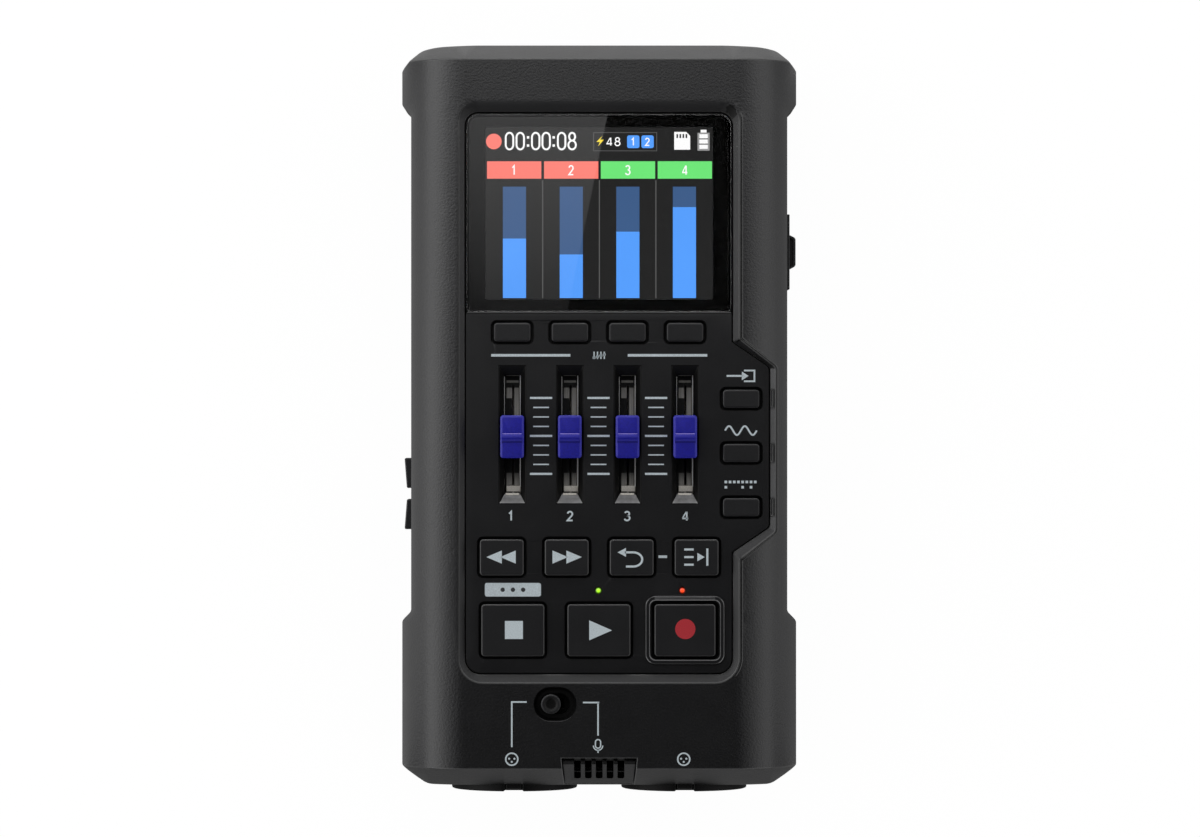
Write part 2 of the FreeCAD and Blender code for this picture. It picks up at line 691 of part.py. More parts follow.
def casing_shapes():
    """Both casings as plain shells, with the recess, the bulge, the tongue and its groove."""
    wall, parting, front = mm("wall_thick"), mm("parting_z"), mm("front_z")
    outer, inner = hull(0), hull(wall)
    middle = hull(wall / 2)
    rim, floor = recess_rim(), recess_floor()
    crest = grown(rim, mm("crest_wide"))
    right_half = Part.makeBox(60, 200, front, Vector(mm("flat_wide / 4"), -100, 0))
    bulge = prism(crest, mm("jack_z") + 12, front).common(right_half)
    cavity = inner.cut(prism(crest, mm("ledge_z"), front + 1))
    slope = Part.makeLoft([outline(floor, mm("panel_z")), outline(rim, front)], True, True)
    mouth = slope.fuse(prism(rim, front, front + 2))
    seat = prism(floor, mm("panel_z - panel_thick"), mm("panel_z"))
    opening = prism(grown(floor, -mm("ledge_wide")), mm("ledge_z") - 1, mm("panel_z"))
    lip_top = parting + mm("lip_high")
    shell = casing_half(parting, front + 1, outer.fuse(bulge).cut(cavity).cut(mouth).cut(seat).cut(opening))
    groove = casing_half(parting - 1, lip_top + 0.1, middle)
    posts = [Part.makeCylinder(mm("post_radius"), front, Vector(mm(x), mm(y), 0)) for x, y in screw_spots()]
    posts = posts[0].fuse(posts[1:]).common(middle)
    front_shape = shell.cut(groove).fuse(casing_half(parting + 0.05, front, posts))
    rear_shape = casing_half(0, parting, outer.cut(inner))
    lip = casing_half(parting - 1, lip_top, hull(wall / 2 + mm("fit_gap")).cut(inner))
    rear_shape = rear_shape.fuse([lip, casing_half(0, parting - 0.05, posts)])
    return front_shape.removeSplitter(), rear_shape.removeSplitter()


def stadium(wide, tall, x, y):
    """Outline points of a slot with round ends, a little short of a half circle each."""
    half_x, half_y = wide / 2, tall / 2
    return [(x + a * half_x, y + b * half_y, half_y * 0.98) for a, b in ((-1, -1), (1, -1), (1, 1), (-1, 1))]


def switch_dish():
    """The sloped recess round the input switch and the slot that its knob slides in."""
    x, y, front, deep = mm("switch_x"), mm("switch_y"), mm("front_z"), mm("dish_deep")
    wide, tall, slope = mm("dish_wide"), mm("dish_tall"), 0.55
    low = outline(stadium(wide - 2 * slope, tall - 2 * slope, x, y), front - deep)
    high = outline(stadium(wide, tall, x, y), front)
    dish = Part.makeLoft([low, high], True, True).fuse(prism(stadium(wide, tall, x, y), front, front + 1))
    reach = 2 * (mm("knob_round") + mm("fit_gap"))
    slot = prism(stadium(reach + 2 * mm("knob_shift"), reach, x, y), front - 3, front)
    return shape(dish.fuse(slot), "switch_dish")


def grille_face():
    """The grille plate's outer face seen from the side: its two ends, and the way through the plate."""
    top = Vector(0, mm("grille_top_y"), mm("grille_top_z"))
    low = Vector(0, mm("grille_low_y"), mm("bevel_front_z"))
    along = (low - top).normalize()
    return top, low, Vector(0, -along.z, along.y)


def grille_plan(gap):
    """The grille's outline seen from the front, as a tall prism."""
    half_top, half_low = mm("grille_wide / 2") - gap, mm("grille_narrow / 2") - gap
    low_y = mm("low_y") - 2
    corners = [(-half_low, low_y), (half_low, low_y), (half_top, mm("notch_y")), (-half_top, mm("notch_y"))]
    wire = Part.makePolygon([Vector(x, y, 20) for x, y in corners + corners[:1]])
    return Part.Face(wire).extrude(Vector(0, 0, 30))


def across(points, half):
    """A side view, given as (y, z) points, made solid from -half to +half across the body."""
    wire = Part.makePolygon([Vector(-half, y, z) for y, z in points + points[:1]])
    return Part.Face(wire).extrude(Vector(2 * half, 0, 0))


def grille_notch():
    """What the casing loses for the grille: the set-in face and a way to the microphone."""
    top, low, inward = grille_face()
    back = inward * mm("grille_thick")
    above = mm("front_z") + 1
    side = [
        (mm("notch_y"), above),
        (mm("notch_y"), (top + back).z),
        ((low + back).y, (low + back).z),
        (mm("low_y") - 2, (low + back).z),
        (mm("low_y") - 2, above),
    ]
    notch = across(side, 10).common(grille_plan(0))
    half = 2.5 * mm("grille_pitch")
    passage = Part.makeBox(2 * half, 6, 6.4, Vector(-half, mm("notch_y") - 3.4, mm("front_z") - 9))
    return shape(notch.fuse(passage), "grille_notch")


def screw_spots():
    return [
        (sign + x, y)
        for x, y in (("screw_low_x", "screw_low_y"), ("screw_mid_x", "screw_mid_y"))
        for sign in ("", "-")
    ]


def jack_spots():
    return (("a", "-jack_x"), ("b", "jack_x"))


def side_openings():
    """Tools for what shows on the left and right sides and at the display end."""
    out, ease = "waist_wide / 2", "0.3"
    grow = " + " + ease
    volume = [
        centred("4", "volume_long" + grow, "volume_tall" + grow, "1 - " + out, y, "side_mid_z")
        for label, y in volume_spots()
    ]
    bulge_steps = [
        box("1.2", "3.3", "2", "bulge_x", "side_key_y + (%d) * side_pitch" % row, "panel_z - 0.02")
        for row in (-1, 0, 1)
    ]
    return volume + bulge_steps + [
        rod("phones_radius + 1.35", "8", "phones_x", "top_y - 7", "socket_z", "Y"),
        centred("usb_wide" + grow, "8", "usb_tall" + grow, "usb_x", "top_y - 3", "socket_z"),
        centred("4", "card_wide" + grow, "card_tall" + grow, out + " - 1", "card_y", "socket_z"),
        centred("4", "plate_long" + grow, "plate_tall" + grow, out + " + 1.2", "power_y", "side_mid_z"),
        centred("4", "plate_long - 2.5", "knob_tall + 0.4", out + " - 1", "power_y", "side_mid_z"),
    ]


def bay_openings():
    """Tools for the battery bay and for the door with its tongues, all open towards the display end."""
    middle, run = "(bay_top_y + bay_low_y) / 2", "bay_top_y - bay_low_y"
    past_end, ease = "30", "0.15"
    door_long = "%s + door_top_y - door_low_y" % past_end
    door_middle = "(door_top_y + door_low_y + %s) / 2 - %s" % (past_end, ease)
    return [
        box("bay_wide", run, "bay_top_z", y=middle),
        box("door_wide + 2 * " + ease, door_long, "door_thick + back_z + 0.1", y=door_middle),
        box("door_wide + 2 * tongue_out + 2 * " + ease, door_long, "tongue_thick + 0.1 + " + ease,
            y=door_middle, z="back_z + door_thick - tongue_thick - " + ease),
    ]


def make_casings():
    front_shell, rear_shell = casing_shapes()
    spots = screw_spots()
    bore = "screw_radius + 0.05"
    rings = [rod("ring_radius + 0.25", "12", x, "ring_y - 1", "jack_z", "Y") for side, x in jack_spots()]
    barrels = join(*rings)
    front_bores = [rod(bore, "12", x, y, "parting_z - 0.5") for x, y in spots]
    front_tools = join(barrels, switch_dish(), grille_notch(), *front_bores, *side_openings())
    keep("front_casing", cut(shape(front_shell, "front_shell"), front_tools))

    tray = box("bay_wide + 2 * bay_wall", "bay_top_y - bay_low_y + 2 * bay_wall",
               "bay_top_z + bay_wall - back_z - 0.5", y="(bay_top_y + bay_low_y) / 2", z="back_z + 0.5")
    rear_tools = join(
        barrels,
        *bay_openings(),
        *[rod(bore, "30", x, y, "0") for x, y in spots],
        *[rod("head_radius + 0.15", "head_thick + back_z + 0.4", x, y, "0") for x, y in spots],
        *[rod("foot_radius + 0.1", "foot_sunk + back_z", x, "foot_low_y") for x in ("foot_x", "-foot_x")],
    )
    keep("rear_casing", cut(join(shape(rear_shell, "rear_shell"), tray), rear_tools))


def volume_spots():
    shift = "(volume_long + volume_split) / 2"
    return (("volume_up_key", "volume_mid_y + " + shift), ("volume_down_key", "volume_mid_y - " + shift))


# Keys: a cap on a hidden flange. The panel holds the flange down and a rubber pad lifts it.

def make_key(label, x, y, wide, tall, top):
    host = place(body(label), x, y, "flange_z")
    grow = " + 2 * flange_wide"
    rounded_pad(host, "flange", wide + grow, tall + grow, "key_round", "flange_thick")
    rounded_pad(host, "cap", wide, tall, "key_round", top + " - flange_z")
    round_edges(host, "cap_edge", level(mm(top + " - flange_z")), "key_edge")


def track_spots():
    steps = enumerate((-1.5, -0.5, 0.5, 1.5), 1)
    return [(number, "track_mid_x + (%s) * track_pitch" % step) for number, step in steps]


def front_keys():
    """Every front key: name, place, size, height of its top."""
    keys = []
    for number, x in track_spots():
        keys.append(("track_key_%d" % number, x, "track_y", "track_wide", "track_tall", "small_top_z"))
    for name, step in (("input_key", 1), ("effect_key", 0), ("rhythm_key", -1)):
        y = "side_key_y + (%d) * side_pitch" % step
        keys.append((name, "side_key_x", y, "side_key_wide", "side_key_tall", "small_top_z"))
    for name, step in (("rewind_key", -1.5), ("forward_key", -0.5), ("undo_key", 0.5), ("bounce_key", 1.5)):
        x = "(%s) * mid_pitch" % step
        keys.append((name, x, "mid_key_y", "mid_key_wide", "mid_key_tall", "mid_top_z"))
    for name, step in (("stop_key", -1), ("play_key", 0), ("record_key", 1)):
        x = "big_mid_x + (%d) * big_pitch" % step
        wide = "record_wide" if name == "record_key" else "big_key_wide"
        keys.append((name, x, "big_key_y", wide, "big_key_tall", "big_top_z"))
    return keys


def light_spots():
    over_play, over_record = "big_mid_x - light_step / 5", "big_mid_x + big_pitch - light_step"
    return (("play_light", over_play), ("record_light", over_record))


def funnel(x):
    """The sloped mouth of a fader slot with the straight slot below it."""
    mouth = doc.addObject("Part::Wedge", "funnel")
    deep = "panel_thick - 0.3"
    bind(mouth, Xmin="-slot_wide / 2", Xmax="slot_wide / 2", Zmin="-slot_long / 2", Zmax="slot_long / 2",
         X2min="-funnel_wide / 2", X2max="funnel_wide / 2", Z2min="-funnel_long / 2", Z2max="funnel_long / 2",
         Ymin="0", Ymax=deep)
    place(mouth, x, "slot_y", "panel_z + 0.01 - (%s)" % deep, (X_AXIS, 90))
    return [mouth, box("slot_wide", "slot_long", "2", x, "slot_y", "panel_z - panel_thick - 1")]


def make_panel():
    """Inset plate with the key holes, the fader slots, the ridge round the record key and the light holes."""
    host = place(doc.addObject("PartDesign::Body", "panel_plate"), z="panel_z - panel_thick")
    gap = "fit_gap"
    left, right = "panel_left + " + gap, "panel_right - " + gap
    top = "window_low_y - 0.3"
    points = [
        (left, "panel_low + " + gap),
        (right, "panel_low + " + gap),
        (right, "slant_low_y"),
        ("bulge_x - " + gap, "bulge_low_y"),
        ("bulge_x - " + gap, "bulge_top_y"),
        (right, "slant_top_y"),
        (right, top),
        (left, top),
    ]
    pad(host, "plate", points, "panel_thick")
    tall = mm("panel_thick")
    round_edges(host, "low_corners", upright_at(tall, mm("panel_low + fit_gap")), "3 - fit_gap")
    round_edges(host, "bulge_corners", upright_at(tall, mm("bulge_low_y"), mm("bulge_top_y")), "1.2")
    record_x, ridge_top = "big_mid_x + big_pitch", "panel_thick + frame_high"
    rounded_pad(host, "ridge", "frame_wide", "frame_tall", "2", ridge_top, record_x, "big_key_y")
    round_edges(host, "ridge_edge", level(mm(ridge_top)), "0.25")
    holes = sketch_on(host, "XY_Plane", "key_holes_sketch")
    for name, x, y, wide, tall, top_z in front_keys():
        draw_rounded(holes, wide + " + 2 * key_gap", tall + " + 2 * key_gap", "key_round + key_gap", x, y)
    pocket = host.newObject("PartDesign::Pocket", "key_holes")
    pocket.Profile = holes
    pocket.Type = "ThroughAll"
    pocket.Reversed = True
    inner = rounded_block("frame_wide - 2 * frame_width", "frame_tall - 2 * frame_width", "1.4", "1",
                          record_x, "big_key_y", "panel_z")
    tools = [inner]
    for number, x in track_spots():
        tools += funnel(x)
    for name, x in light_spots():
        tools.append(rod("light_radius + 0.08", "4", x, "light_y", "panel_z - 3"))
    keep("control_panel", cut(host, join(*tools)))


def make_display():
    """Window bonded into the recess, with the display module behind it."""
    gap = "fit_gap"
    host = place(body("display_window"), z="panel_z - panel_thick")
    left, right = "panel_left + 2.5 * " + gap, "panel_right - 2.5 * " + gap
    top = "panel_top - 2.5 * " + gap
    thick = "window_z - panel_z + panel_thick"
    pad(host, "glass", [(left, "window_low_y"), (right, "window_low_y"), (right, top), (left, top)], thick)
    tall = mm(thick)
    round_edges(host, "top_corners", upright_at(tall, mm(top)), "2.3")
    round_edges(host, "low_corners", upright_at(tall, mm("window_low_y")), "0.6")
    round_edges(host, "front_edge", level(tall), "0.2")

    case = box("module_wide", "module_tall", "module_thick", y="screen_y", z="screen_z - module_thick")
    sunk = box("screen_wide + 0.6", "screen_tall + 0.6", "0.4", y="screen_y", z="screen_z - 0.15")
    glass = box("screen_wide", "screen_tall", "0.1", y="screen_y", z="screen_z - 0.15")
    keep("display_module", join(cut(case, sunk), glass))


def make_board():
    """Main board with notches for the screw posts; the mat lies on it."""
    host = place(doc.addObject("PartDesign::Body", "board_plate"), z="board_z")
    left, right = "board_left + board_step_x", "board_right - board_step_x"
    points = [
        (left, "board_low_y"),
        (right, "board_low_y"),
        (right, "board_step_y"),
        ("board_right", "board_step_y"),
        ("board_right", "board_top_y"),
        ("board_left", "board_top_y"),
        ("board_left", "board_step_y"),
        (left, "board_step_y"),
    ]
    pad(host, "plate", points, "board_thick")
    posts = [rod("post_radius + 0.4", "4", x, y, "board_z - 1") for x, y in screw_spots()]
    keep("main_board", cut(host, join(*posts)))


def make_mat():
    """Rubber sheet on the board with a pad under each front key and a window for the faders."""
    host = place(body("key_mat"), z="board_z + board_thick")
    points = [
        ("mat_left", "mat_low_y"),
        ("mat_right", "mat_low_y"),
        ("mat_right", "mat_arm_low_y"),
        ("mat_arm_x", "mat_arm_low_y"),
        ("mat_arm_x", "mat_arm_top_y"),
        ("mat_right", "mat_arm_top_y"),
        ("mat_right", "mat_top_y"),
        ("mat_left", "mat_top_y"),
    ]
    pad(host, "sheet", points, "mat_thick")
    high = "flange_z - key_travel - 0.05 - board_z - board_thick"
    for name, x, y, wide, tall, top_z in front_keys():
        rounded_pad(host, name + "_pad", wide + " - 1.2", tall + " - 0.8", "0.6", high, x, y)
    window = sketch_on(host, "XY_Plane", "fader_window_sketch")
    draw_rounded(window, "pads_wide", "frame_y + 0.8", "0.8", "track_mid_x", "frame_mid_y")
    for name, x in light_spots():
        draw_rounded(window, "2.4", "2.4", "0.5", x, "light_y")
    pocket = host.newObject("PartDesign::Pocket", "fader_window")
    pocket.Profile = window
    pocket.Type = "ThroughAll"
    pocket.Reversed = True


def make_lights():
    for name, x in light_spots():
        length = "panel_z + 0.1 - board_z - board_thick"
        keep(name, rod("light_radius", length, x, "light_y", "board_z + board_thick"))


# Faders: a folded metal frame on the board, a lever that slides in its slit and a cap on the lever.

def make_faders():
    foot = "board_z + board_thick"
    inside = " - 2 * frame_sheet"
    for number, x in track_spots():
        case = box("frame_x", "frame_y", "frame_z", x, "frame_mid_y", foot)
        hollow = box("frame_x" + inside, "frame_y" + inside, "frame_z" + inside,
                     x, "frame_mid_y", foot + " + frame_sheet")
        slit = box("frame_slit", "fader_travel + lever_long + 1", "2 * frame_sheet",
                   x, "fader_y", foot + " + frame_z - 1.5 * frame_sheet")
        keep("fader_frame_%d" % number, cut(case, join(hollow, slit)))
        slider = box("frame_x - 0.6" + inside, "lever_long + 1", "1.6", x, "fader_y", foot + " + 2")
        tongue_tall = "cap_low_z - board_z - board_thick - 3.5"
        tongue = box("lever_wide", "lever_long", tongue_tall, x, "fader_y", foot + " + 2.4")
        keep("fader_lever_%d" % number, join(slider, tongue))
        make_fader_cap("fader_cap_%d" % number, x)


def make_fader_cap(label, x):
    """Cap with two flat finger faces, a ridge between them and a stem that grips the lever."""
    host = doc.addObject("PartDesign::Body", "cap_head")
    face = "cap_face_z - cap_low_z"
    rounded_pad(host, "head", "cap_wide", "cap_long", "0.5", face)
    round_edges(host, "head_edge", level(mm(face)), "0.35")
    place(host, x, "fader_y", "cap_low_z")
    ridge = doc.addObject("Part::Wedge", "ridge")
    bind(ridge, Ymin="0", Ymax="cap_top_z - cap_face_z + 0.2",
         Xmin="(0.7 - cap_wide) / 2", Xmax="(cap_wide - 0.7) / 2",
         X2min="(1.3 - cap_wide) / 2", X2max="(cap_wide - 1.3) / 2",
         Zmin="-ridge_long / 2", Zmax="ridge_long / 2",
         Z2min="0.15 - ridge_long / 2", Z2max="0.15 - ridge_long / 2 + ridge_top")
    place(ridge, x, "fader_y", "cap_face_z - 0.2", (X_AXIS, 90))
    stem = box("stem_wide", "stem_long", "3.4", x, "fader_y", "cap_low_z - 3.2")
    grip = box("lever_wide + 0.1", "lever_long + 0.1", "2.4", x, "fader_y", "cap_low_z - 3.4")
    keep(label, cut(join(host, ridge, stem), grip))


# Input switch, microphone and its grille.

def make_input_switch():
    floor = "front_z - wall_thick"
    x, low = "switch_x - knob_shift", "front_z - dish_deep - knob_foot"
    knob = rod("knob_round", "knob_top_z - (%s)" % low, x, "switch_y", low)
    rounded = doc.addObject("Part::Fillet", "knob_edge")
    rounded.Base = knob
    doc.recompute()
    top = mm("knob_top_z")
    rims = [i + 1 for i, edge in enumerate(knob.Shape.Edges) if abs(edge.BoundBox.ZMin - top) < 0.01]
    rounded.Edges = [(number, 0.3, 0.3) for number in rims]
    stem = box("selector_stem", "1.6", "3.4", x, "switch_y", floor + " - 2.6")
    keep("input_switch_knob", join(rounded, stem))
    case = box("selector_wide", "selector_long", "selector_tall", "switch_x", "switch_y", floor + " - 5")
    slot = box("selector_stem + 2 * knob_shift + 0.6", "2", "3", "switch_x", "switch_y", floor + " - 3.6")
    pins = [box("0.8", "0.6", "2.4", "switch_x + (%s) * 2.5" % i, "switch_y", "board_z + board_thick + 0.1")
            for i in (-1, 0, 1)]
    keep("input_switch_body", join(cut(case, slot), *pins))


def make_microphone():
    top, low, inward = grille_face()
    back = inward * (mm("grille_thick") - 0.05)
    side = [(point.y, point.z) for point in (top, low, low + back, top + back)]
    plate = shape(across(side, 10).common(grille_plan(mm("fit_gap"))), "grille_plate")
    slots = []
    for i in range(-2, 3):
        at = ("(%d) * grille_pitch" % i, "grille_top_y - 0.9", "front_z - 13")
        slots.append(rounded_block("grille_slot", "4.6", "0.62", "14", *at))
    keep("mic_grille", cut(plate, join(*slots)))
    capsule = rod("capsule_radius", "capsule_long", "0", "notch_y + 1.4", "front_z - 6", "Y")
    holder = rod("capsule_radius + 0.8", "capsule_long - 0.4", "0", "notch_y + 1.6", "front_z - 6", "Y")
    seat = rod("capsule_radius + 0.02", "capsule_long + 2", "0", "notch_y", "front_z - 6", "Y")
    keep("mic_capsule", capsule)
    keep("mic_holder", cut(holder, seat))


# Combo jacks: ring and barrel in one, a contact core with a plug bore and three pin holes, and a release tab.

def make_jacks():
    for side, x in jack_spots():
        start = "ring_y"
        ring = rod("ring_radius", "ring_long", x, start, "jack_z", "Y")
        barrel = rod("barrel_radius", "barrel_y - ring_y", x, start, "jack_z", "Y")
        mouth = rod("mouth_radius", "mouth_deep + 1", x, start + " - 1", "jack_z", "Y")
        hold = rod("core_radius + 0.02", "60", x, start, "jack_z", "Y")
        notch = box("tab_wide", "10 + tab_travel", "3.4", x, start + " + 4.5", "jack_z + mouth_radius - 0.4")
        keep("combo_jack_" + side, cut(join(ring, barrel), join(mouth, hold, notch)))
        face = start + " + core_set"
        core = rod("core_radius", "barrel_y - ring_y - core_set - 0.5", x, face, "jack_z", "Y")
        bore = rod("plug_radius", "plug_deep", x, face, "jack_z", "Y")
        pins = [
            rod("pin_radius", "pin_deep", "%s + pin_circle * sin(%d)" % (x, turn), face,
                "jack_z - pin_circle * cos(%d)" % turn, "Y")
            for turn in (-120, 0, 120)
        ]
        keep("jack_core_" + side, cut(core, join(bore, *pins)))
        tab = box("tab_wide - 0.3", "7.5", "1.5", x, start + " + 0.5 + 3.75", "jack_z + mouth_radius + 0.15")
        thumb = box("tab_wide - 0.3", "1.6", "2.1", x, start + " + 0.5 + 0.8", "jack_z + mouth_radius + 0.15")
        keep("release_tab_" + side, join(tab, thumb))


# Controls on the two sides.

def make_side_controls():
    out = "waist_wide / 2"
    for label, y in volume_spots():
        host = place(body(label), "-(%s) - volume_out" % out, y, "side_mid_z - volume_tall / 2")
        near = "-" if label == "volume_up_key" else ""
        far = "" if near else "-"
        reach, slope = "volume_out + wall_thick + 0.05", "0.45"
        points = [
            ("0", far + "volume_long / 2"),
            (slope, near + "volume_long / 2"),
            (reach, near + "volume_long / 2"),
            (reach, far + "volume_long / 2"),
        ]
        if far:
            points.reverse()
        pad(host, "cap", points, "volume_tall")
        round_edges(host, "cap_edge", lambda b: b.ZLength < 0.01 or b.XMax < 0.5, "0.3")
        flange = rectangle("0.8", "volume_long + 1.2", reach + " + 0.35")
        pad(host, "flange", flange, "volume_tall")
    switch_x = "wall_thick + 0.85 + volume_travel + 1.1 - " + out
    switches = [centred("2.2", "4", "4", switch_x, y, "side_mid_z") for label, y in volume_spots()]

    at = ("power_y", "side_mid_z")
    plate = centred("plate_out + 0.8", "plate_long", "plate_tall", out + " + (plate_out - 0.8) / 2", *at)
    slot = centred("4", "knob_long + 2 * power_travel + 0.4", "knob_tall + 0.2", out, *at)
    keep("power_switch_plate", cut(plate, slot))
    knob = doc.addObject("Part::Wedge", "knob")
    bind(knob, Ymin="0", Ymax="knob_out + 0.7",
         Xmin="-knob_tall / 2", Xmax="knob_tall / 2",
         X2min="0.4 - knob_tall / 2", X2max="knob_tall / 2 - 0.4",
         Zmin="-knob_long / 2", Zmax="knob_long / 2",
         Z2min="0.75 - knob_long / 2", Z2max="knob_long / 2 - 0.75")
    place(knob, out + " - 0.7", *at, (Vector(1, 1, 1), 240))
    grooves = []
    for i in range(-2, 3):
        y = "power_y + (%d) * 1.1" % i
        grooves.append(centred("1", "0.5", "knob_tall + 1", out + " + knob_out + 0.2", y, "side_mid_z"))
    stem = centred("5", "2", "2", out + " - 3", *at)
    keep("power_switch_knob", cut(join(knob, stem), join(*grooves)))
    case = centred("4.2", "11", "4.2", out + " - 5.6", *at)
    track = centred("3", "2.4 + 2 * power_travel", "2.4", out + " - 4.4", *at)
    keep("side_switches", group(cut(case, track), *switches))


# Battery bay: four cells side by side, contacts at both ends, a door that slides off over the display end.

def make_battery():
    height = "back_z + door_thick + 0.4 + cell_radius"
    start = "(bay_low_y + bay_top_y - cell_long) / 2"
    cells, contacts = [], []
    for number, step in enumerate((-1.5, -0.5, 0.5, 1.5)):
        x = "(%s) * cell_pitch" % step
        can = rod("cell_radius", "cell_long", x, start, height, "Y")
        nub_at_top = number % 2 == 0
        nub_y = start + " + cell_long" if nub_at_top else start + " - nub_long"
        cells.append(join(can, rod("nub_radius", "nub_long", x, nub_y, height, "Y")))
        space = "(bay_top_y - bay_low_y - cell_long) / 2"
        low_long = space + " - 0.1" + ("" if nub_at_top else " - nub_long")
        top_long = space + " - 0.1" + (" - nub_long" if nub_at_top else "")
        contacts.append(rod("2.4", low_long, x, "bay_low_y + 0.05", height, "Y"))
        contacts.append(rod("2.4", top_long, x, "bay_top_y - 0.05 - (%s)" % top_long, height, "Y"))
    keep("battery_cells", group(*cells))
    plates = []
    rows = (("bay_low_y + 0.25", (-1, 1), ()), ("bay_top_y - 0.25", (0,), (-1.5, 1.5)))
    for y, bridges, singles in rows:
        for step in bridges + singles:
            wide = "cell_pitch + 9" if step in bridges else "9"
            plates.append(centred(wide, "0.4", "10", "(%s) * cell_pitch" % step, y, height))
    keep("battery_contacts", join(*contacts, *plates))

    middle, run = "(door_top_y + door_low_y) / 2", "door_top_y - door_low_y"
    panel = box("door_wide", run, "door_thick", y=middle, z="back_z")
    tongues = box("door_wide + 2 * tongue_out", run + " - door_travel - 2", "tongue_thick",
                  y=middle, z="back_z + door_thick - tongue_thick")
    seats = [rod("foot_radius + 0.1", "foot_sunk + back_z", x, "foot_top_y") for x in ("foot_x", "-foot_x")]
    grips = [box("16", "0.9", "1", "0", "door_low_y + 5 + (%d) * 1.8" % i, "back_z - 0.6") for i in range(5)]
    keep("battery_door", cut(join(panel, tongues), join(*seats, *grips)))


# Sockets, feet and screws.

def make_sockets():
    case_long = "phones_deep - 4"
    case = box("7", case_long, "5.2", "phones_x", "top_y - 3.2 - (%s) / 2" % case_long, "socket_z - 2.9")
    nose = rod("phones_radius + 1.2", "phones_deep", "phones_x", "top_y - phones_deep", "socket_z", "Y")
    bore = rod("phones_radius", "phones_deep + 1", "phones_x", "top_y - phones_deep - 0.5", "socket_z", "Y")
    keep("phones_jack", cut(join(case, nose), bore))
    shell = centred("usb_wide", "7.3", "usb_tall", "usb_x", "top_y - 3.85", "socket_z")
    hollow = centred("usb_wide - 0.6", "6.6", "usb_tall - 0.6", "usb_x", "top_y - 3.3", "socket_z")
    blade = centred("6.7", "5.2", "0.7", "usb_x", "top_y - 4.6", "socket_z")
    keep("usb_socket", join(cut(shell, hollow), blade))
    inside = "waist_wide / 2 - 2.1"
    case = centred("14", "card_wide + 2", "2.4", inside + " - 7", "card_y", "socket_z")
    slot = centred("14", "card_wide - 0.8", "1.1", inside + " - 6", "card_y", "socket_z")
    keep("card_socket", cut(case, slot))


def make_feet():
    for label, y in (("case_feet", "foot_low_y"), ("door_feet", "foot_top_y")):
        pucks = [rod("foot_radius", "back_z + foot_sunk", x, y) for x in ("foot_x", "-foot_x")]
        keep(label, group(*pucks))


def make_screws():
    screws = []
    for x, y in screw_spots():
        head = rod("head_radius", "head_thick", x, y, "back_z + 0.4")
        shank = rod("screw_radius", "26", x, y, "back_z + 0.4")
        socket = box("0.6", "2.2", "0.8", x, y, "back_z")
        cross = box("2.2", "0.6", "0.8", x, y, "back_z")
        screws.append(cut(join(head, shank), join(socket, cross)))
    keep("case_screws", group(*screws))


def build():
    make_casings()
    make_panel()
    make_display()
    make_board()
    make_mat()
    make_lights()
    make_faders()
    for row in front_keys():
        make_key(*row)
    make_input_switch()
    make_microphone()
    make_jacks()
    make_side_controls()
    make_battery()
    make_sockets()
    make_feet()
    make_screws()
    doc.recompute()


def export():
    """Refuse to write anything unless every object is sound."""
    for thing in doc.Objects:
        if {"Invalid", "Error"} & set(thing.State):
            raise RuntimeError("%s (%s) is %s" % (thing.Name, thing.Label, thing.State))
    for label, part in PARTS.items():
        solid = part.Shape
        if solid.isNull() or not solid.isValid() or not solid.Solids:
            raise RuntimeError("%s has no sound shape" % label)
    os.makedirs("parts", exist_ok=True)
    for label, part in PARTS.items():
        part.Shape.exportStep("parts/%s.step" % label)


build()
export()
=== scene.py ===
import math

import bmesh
import bpy
import numpy as np
from mathutils.bvhtree import BVHTree
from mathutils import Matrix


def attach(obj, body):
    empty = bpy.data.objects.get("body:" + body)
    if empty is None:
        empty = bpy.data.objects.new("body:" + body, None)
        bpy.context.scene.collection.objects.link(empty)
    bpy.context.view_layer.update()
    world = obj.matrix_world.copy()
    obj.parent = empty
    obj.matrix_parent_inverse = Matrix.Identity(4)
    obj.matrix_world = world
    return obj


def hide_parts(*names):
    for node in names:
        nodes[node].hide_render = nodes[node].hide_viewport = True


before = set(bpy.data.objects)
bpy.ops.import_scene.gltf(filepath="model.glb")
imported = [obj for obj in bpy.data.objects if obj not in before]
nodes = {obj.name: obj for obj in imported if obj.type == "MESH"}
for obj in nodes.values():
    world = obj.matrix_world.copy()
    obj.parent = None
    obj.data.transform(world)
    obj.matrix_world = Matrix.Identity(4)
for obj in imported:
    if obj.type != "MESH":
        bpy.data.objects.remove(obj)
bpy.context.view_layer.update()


# Studio: the recorder lies on a white table and the camera looks straight down at it from a metre away. A
# long soft lamp hangs past the display end and two lie low at the sides. Cards that only reflections see
# keep the plastic black: one overhead, black over the front and paler past it, and four on the table.

MM = 0.001
scene = bpy.context.scene
scene.view_settings.view_transform = "Standard"
camera = bpy.data.objects.new("camera", bpy.data.cameras.new("camera"))
scene.collection.objects.link(camera)
camera.location = (0.155 * MM, 0.0, 1.042)
camera.data.lens = 157.5
camera.data.sensor_width = 36.0
camera.data.clip_start = 0.05
scene.camera = camera


def lamp(name, at, aim, size, power):
    """A rectangular soft lamp at a place, turned to a point."""
    data = bpy.data.lights.new(name, "AREA")
    data.shape = "RECTANGLE"
    data.size, data.size_y = size
    data.energy = power
    made = bpy.data.objects.new(name, data)
    scene.collection.objects.link(made)
    made.location = at
    away = [a - b for a, b in zip(aim, at)]
    flat = math.hypot(away[0], away[1])
    made.rotation_euler = (math.atan2(flat, -away[2]), 0, math.atan2(away[1], away[0]) - math.pi / 2)


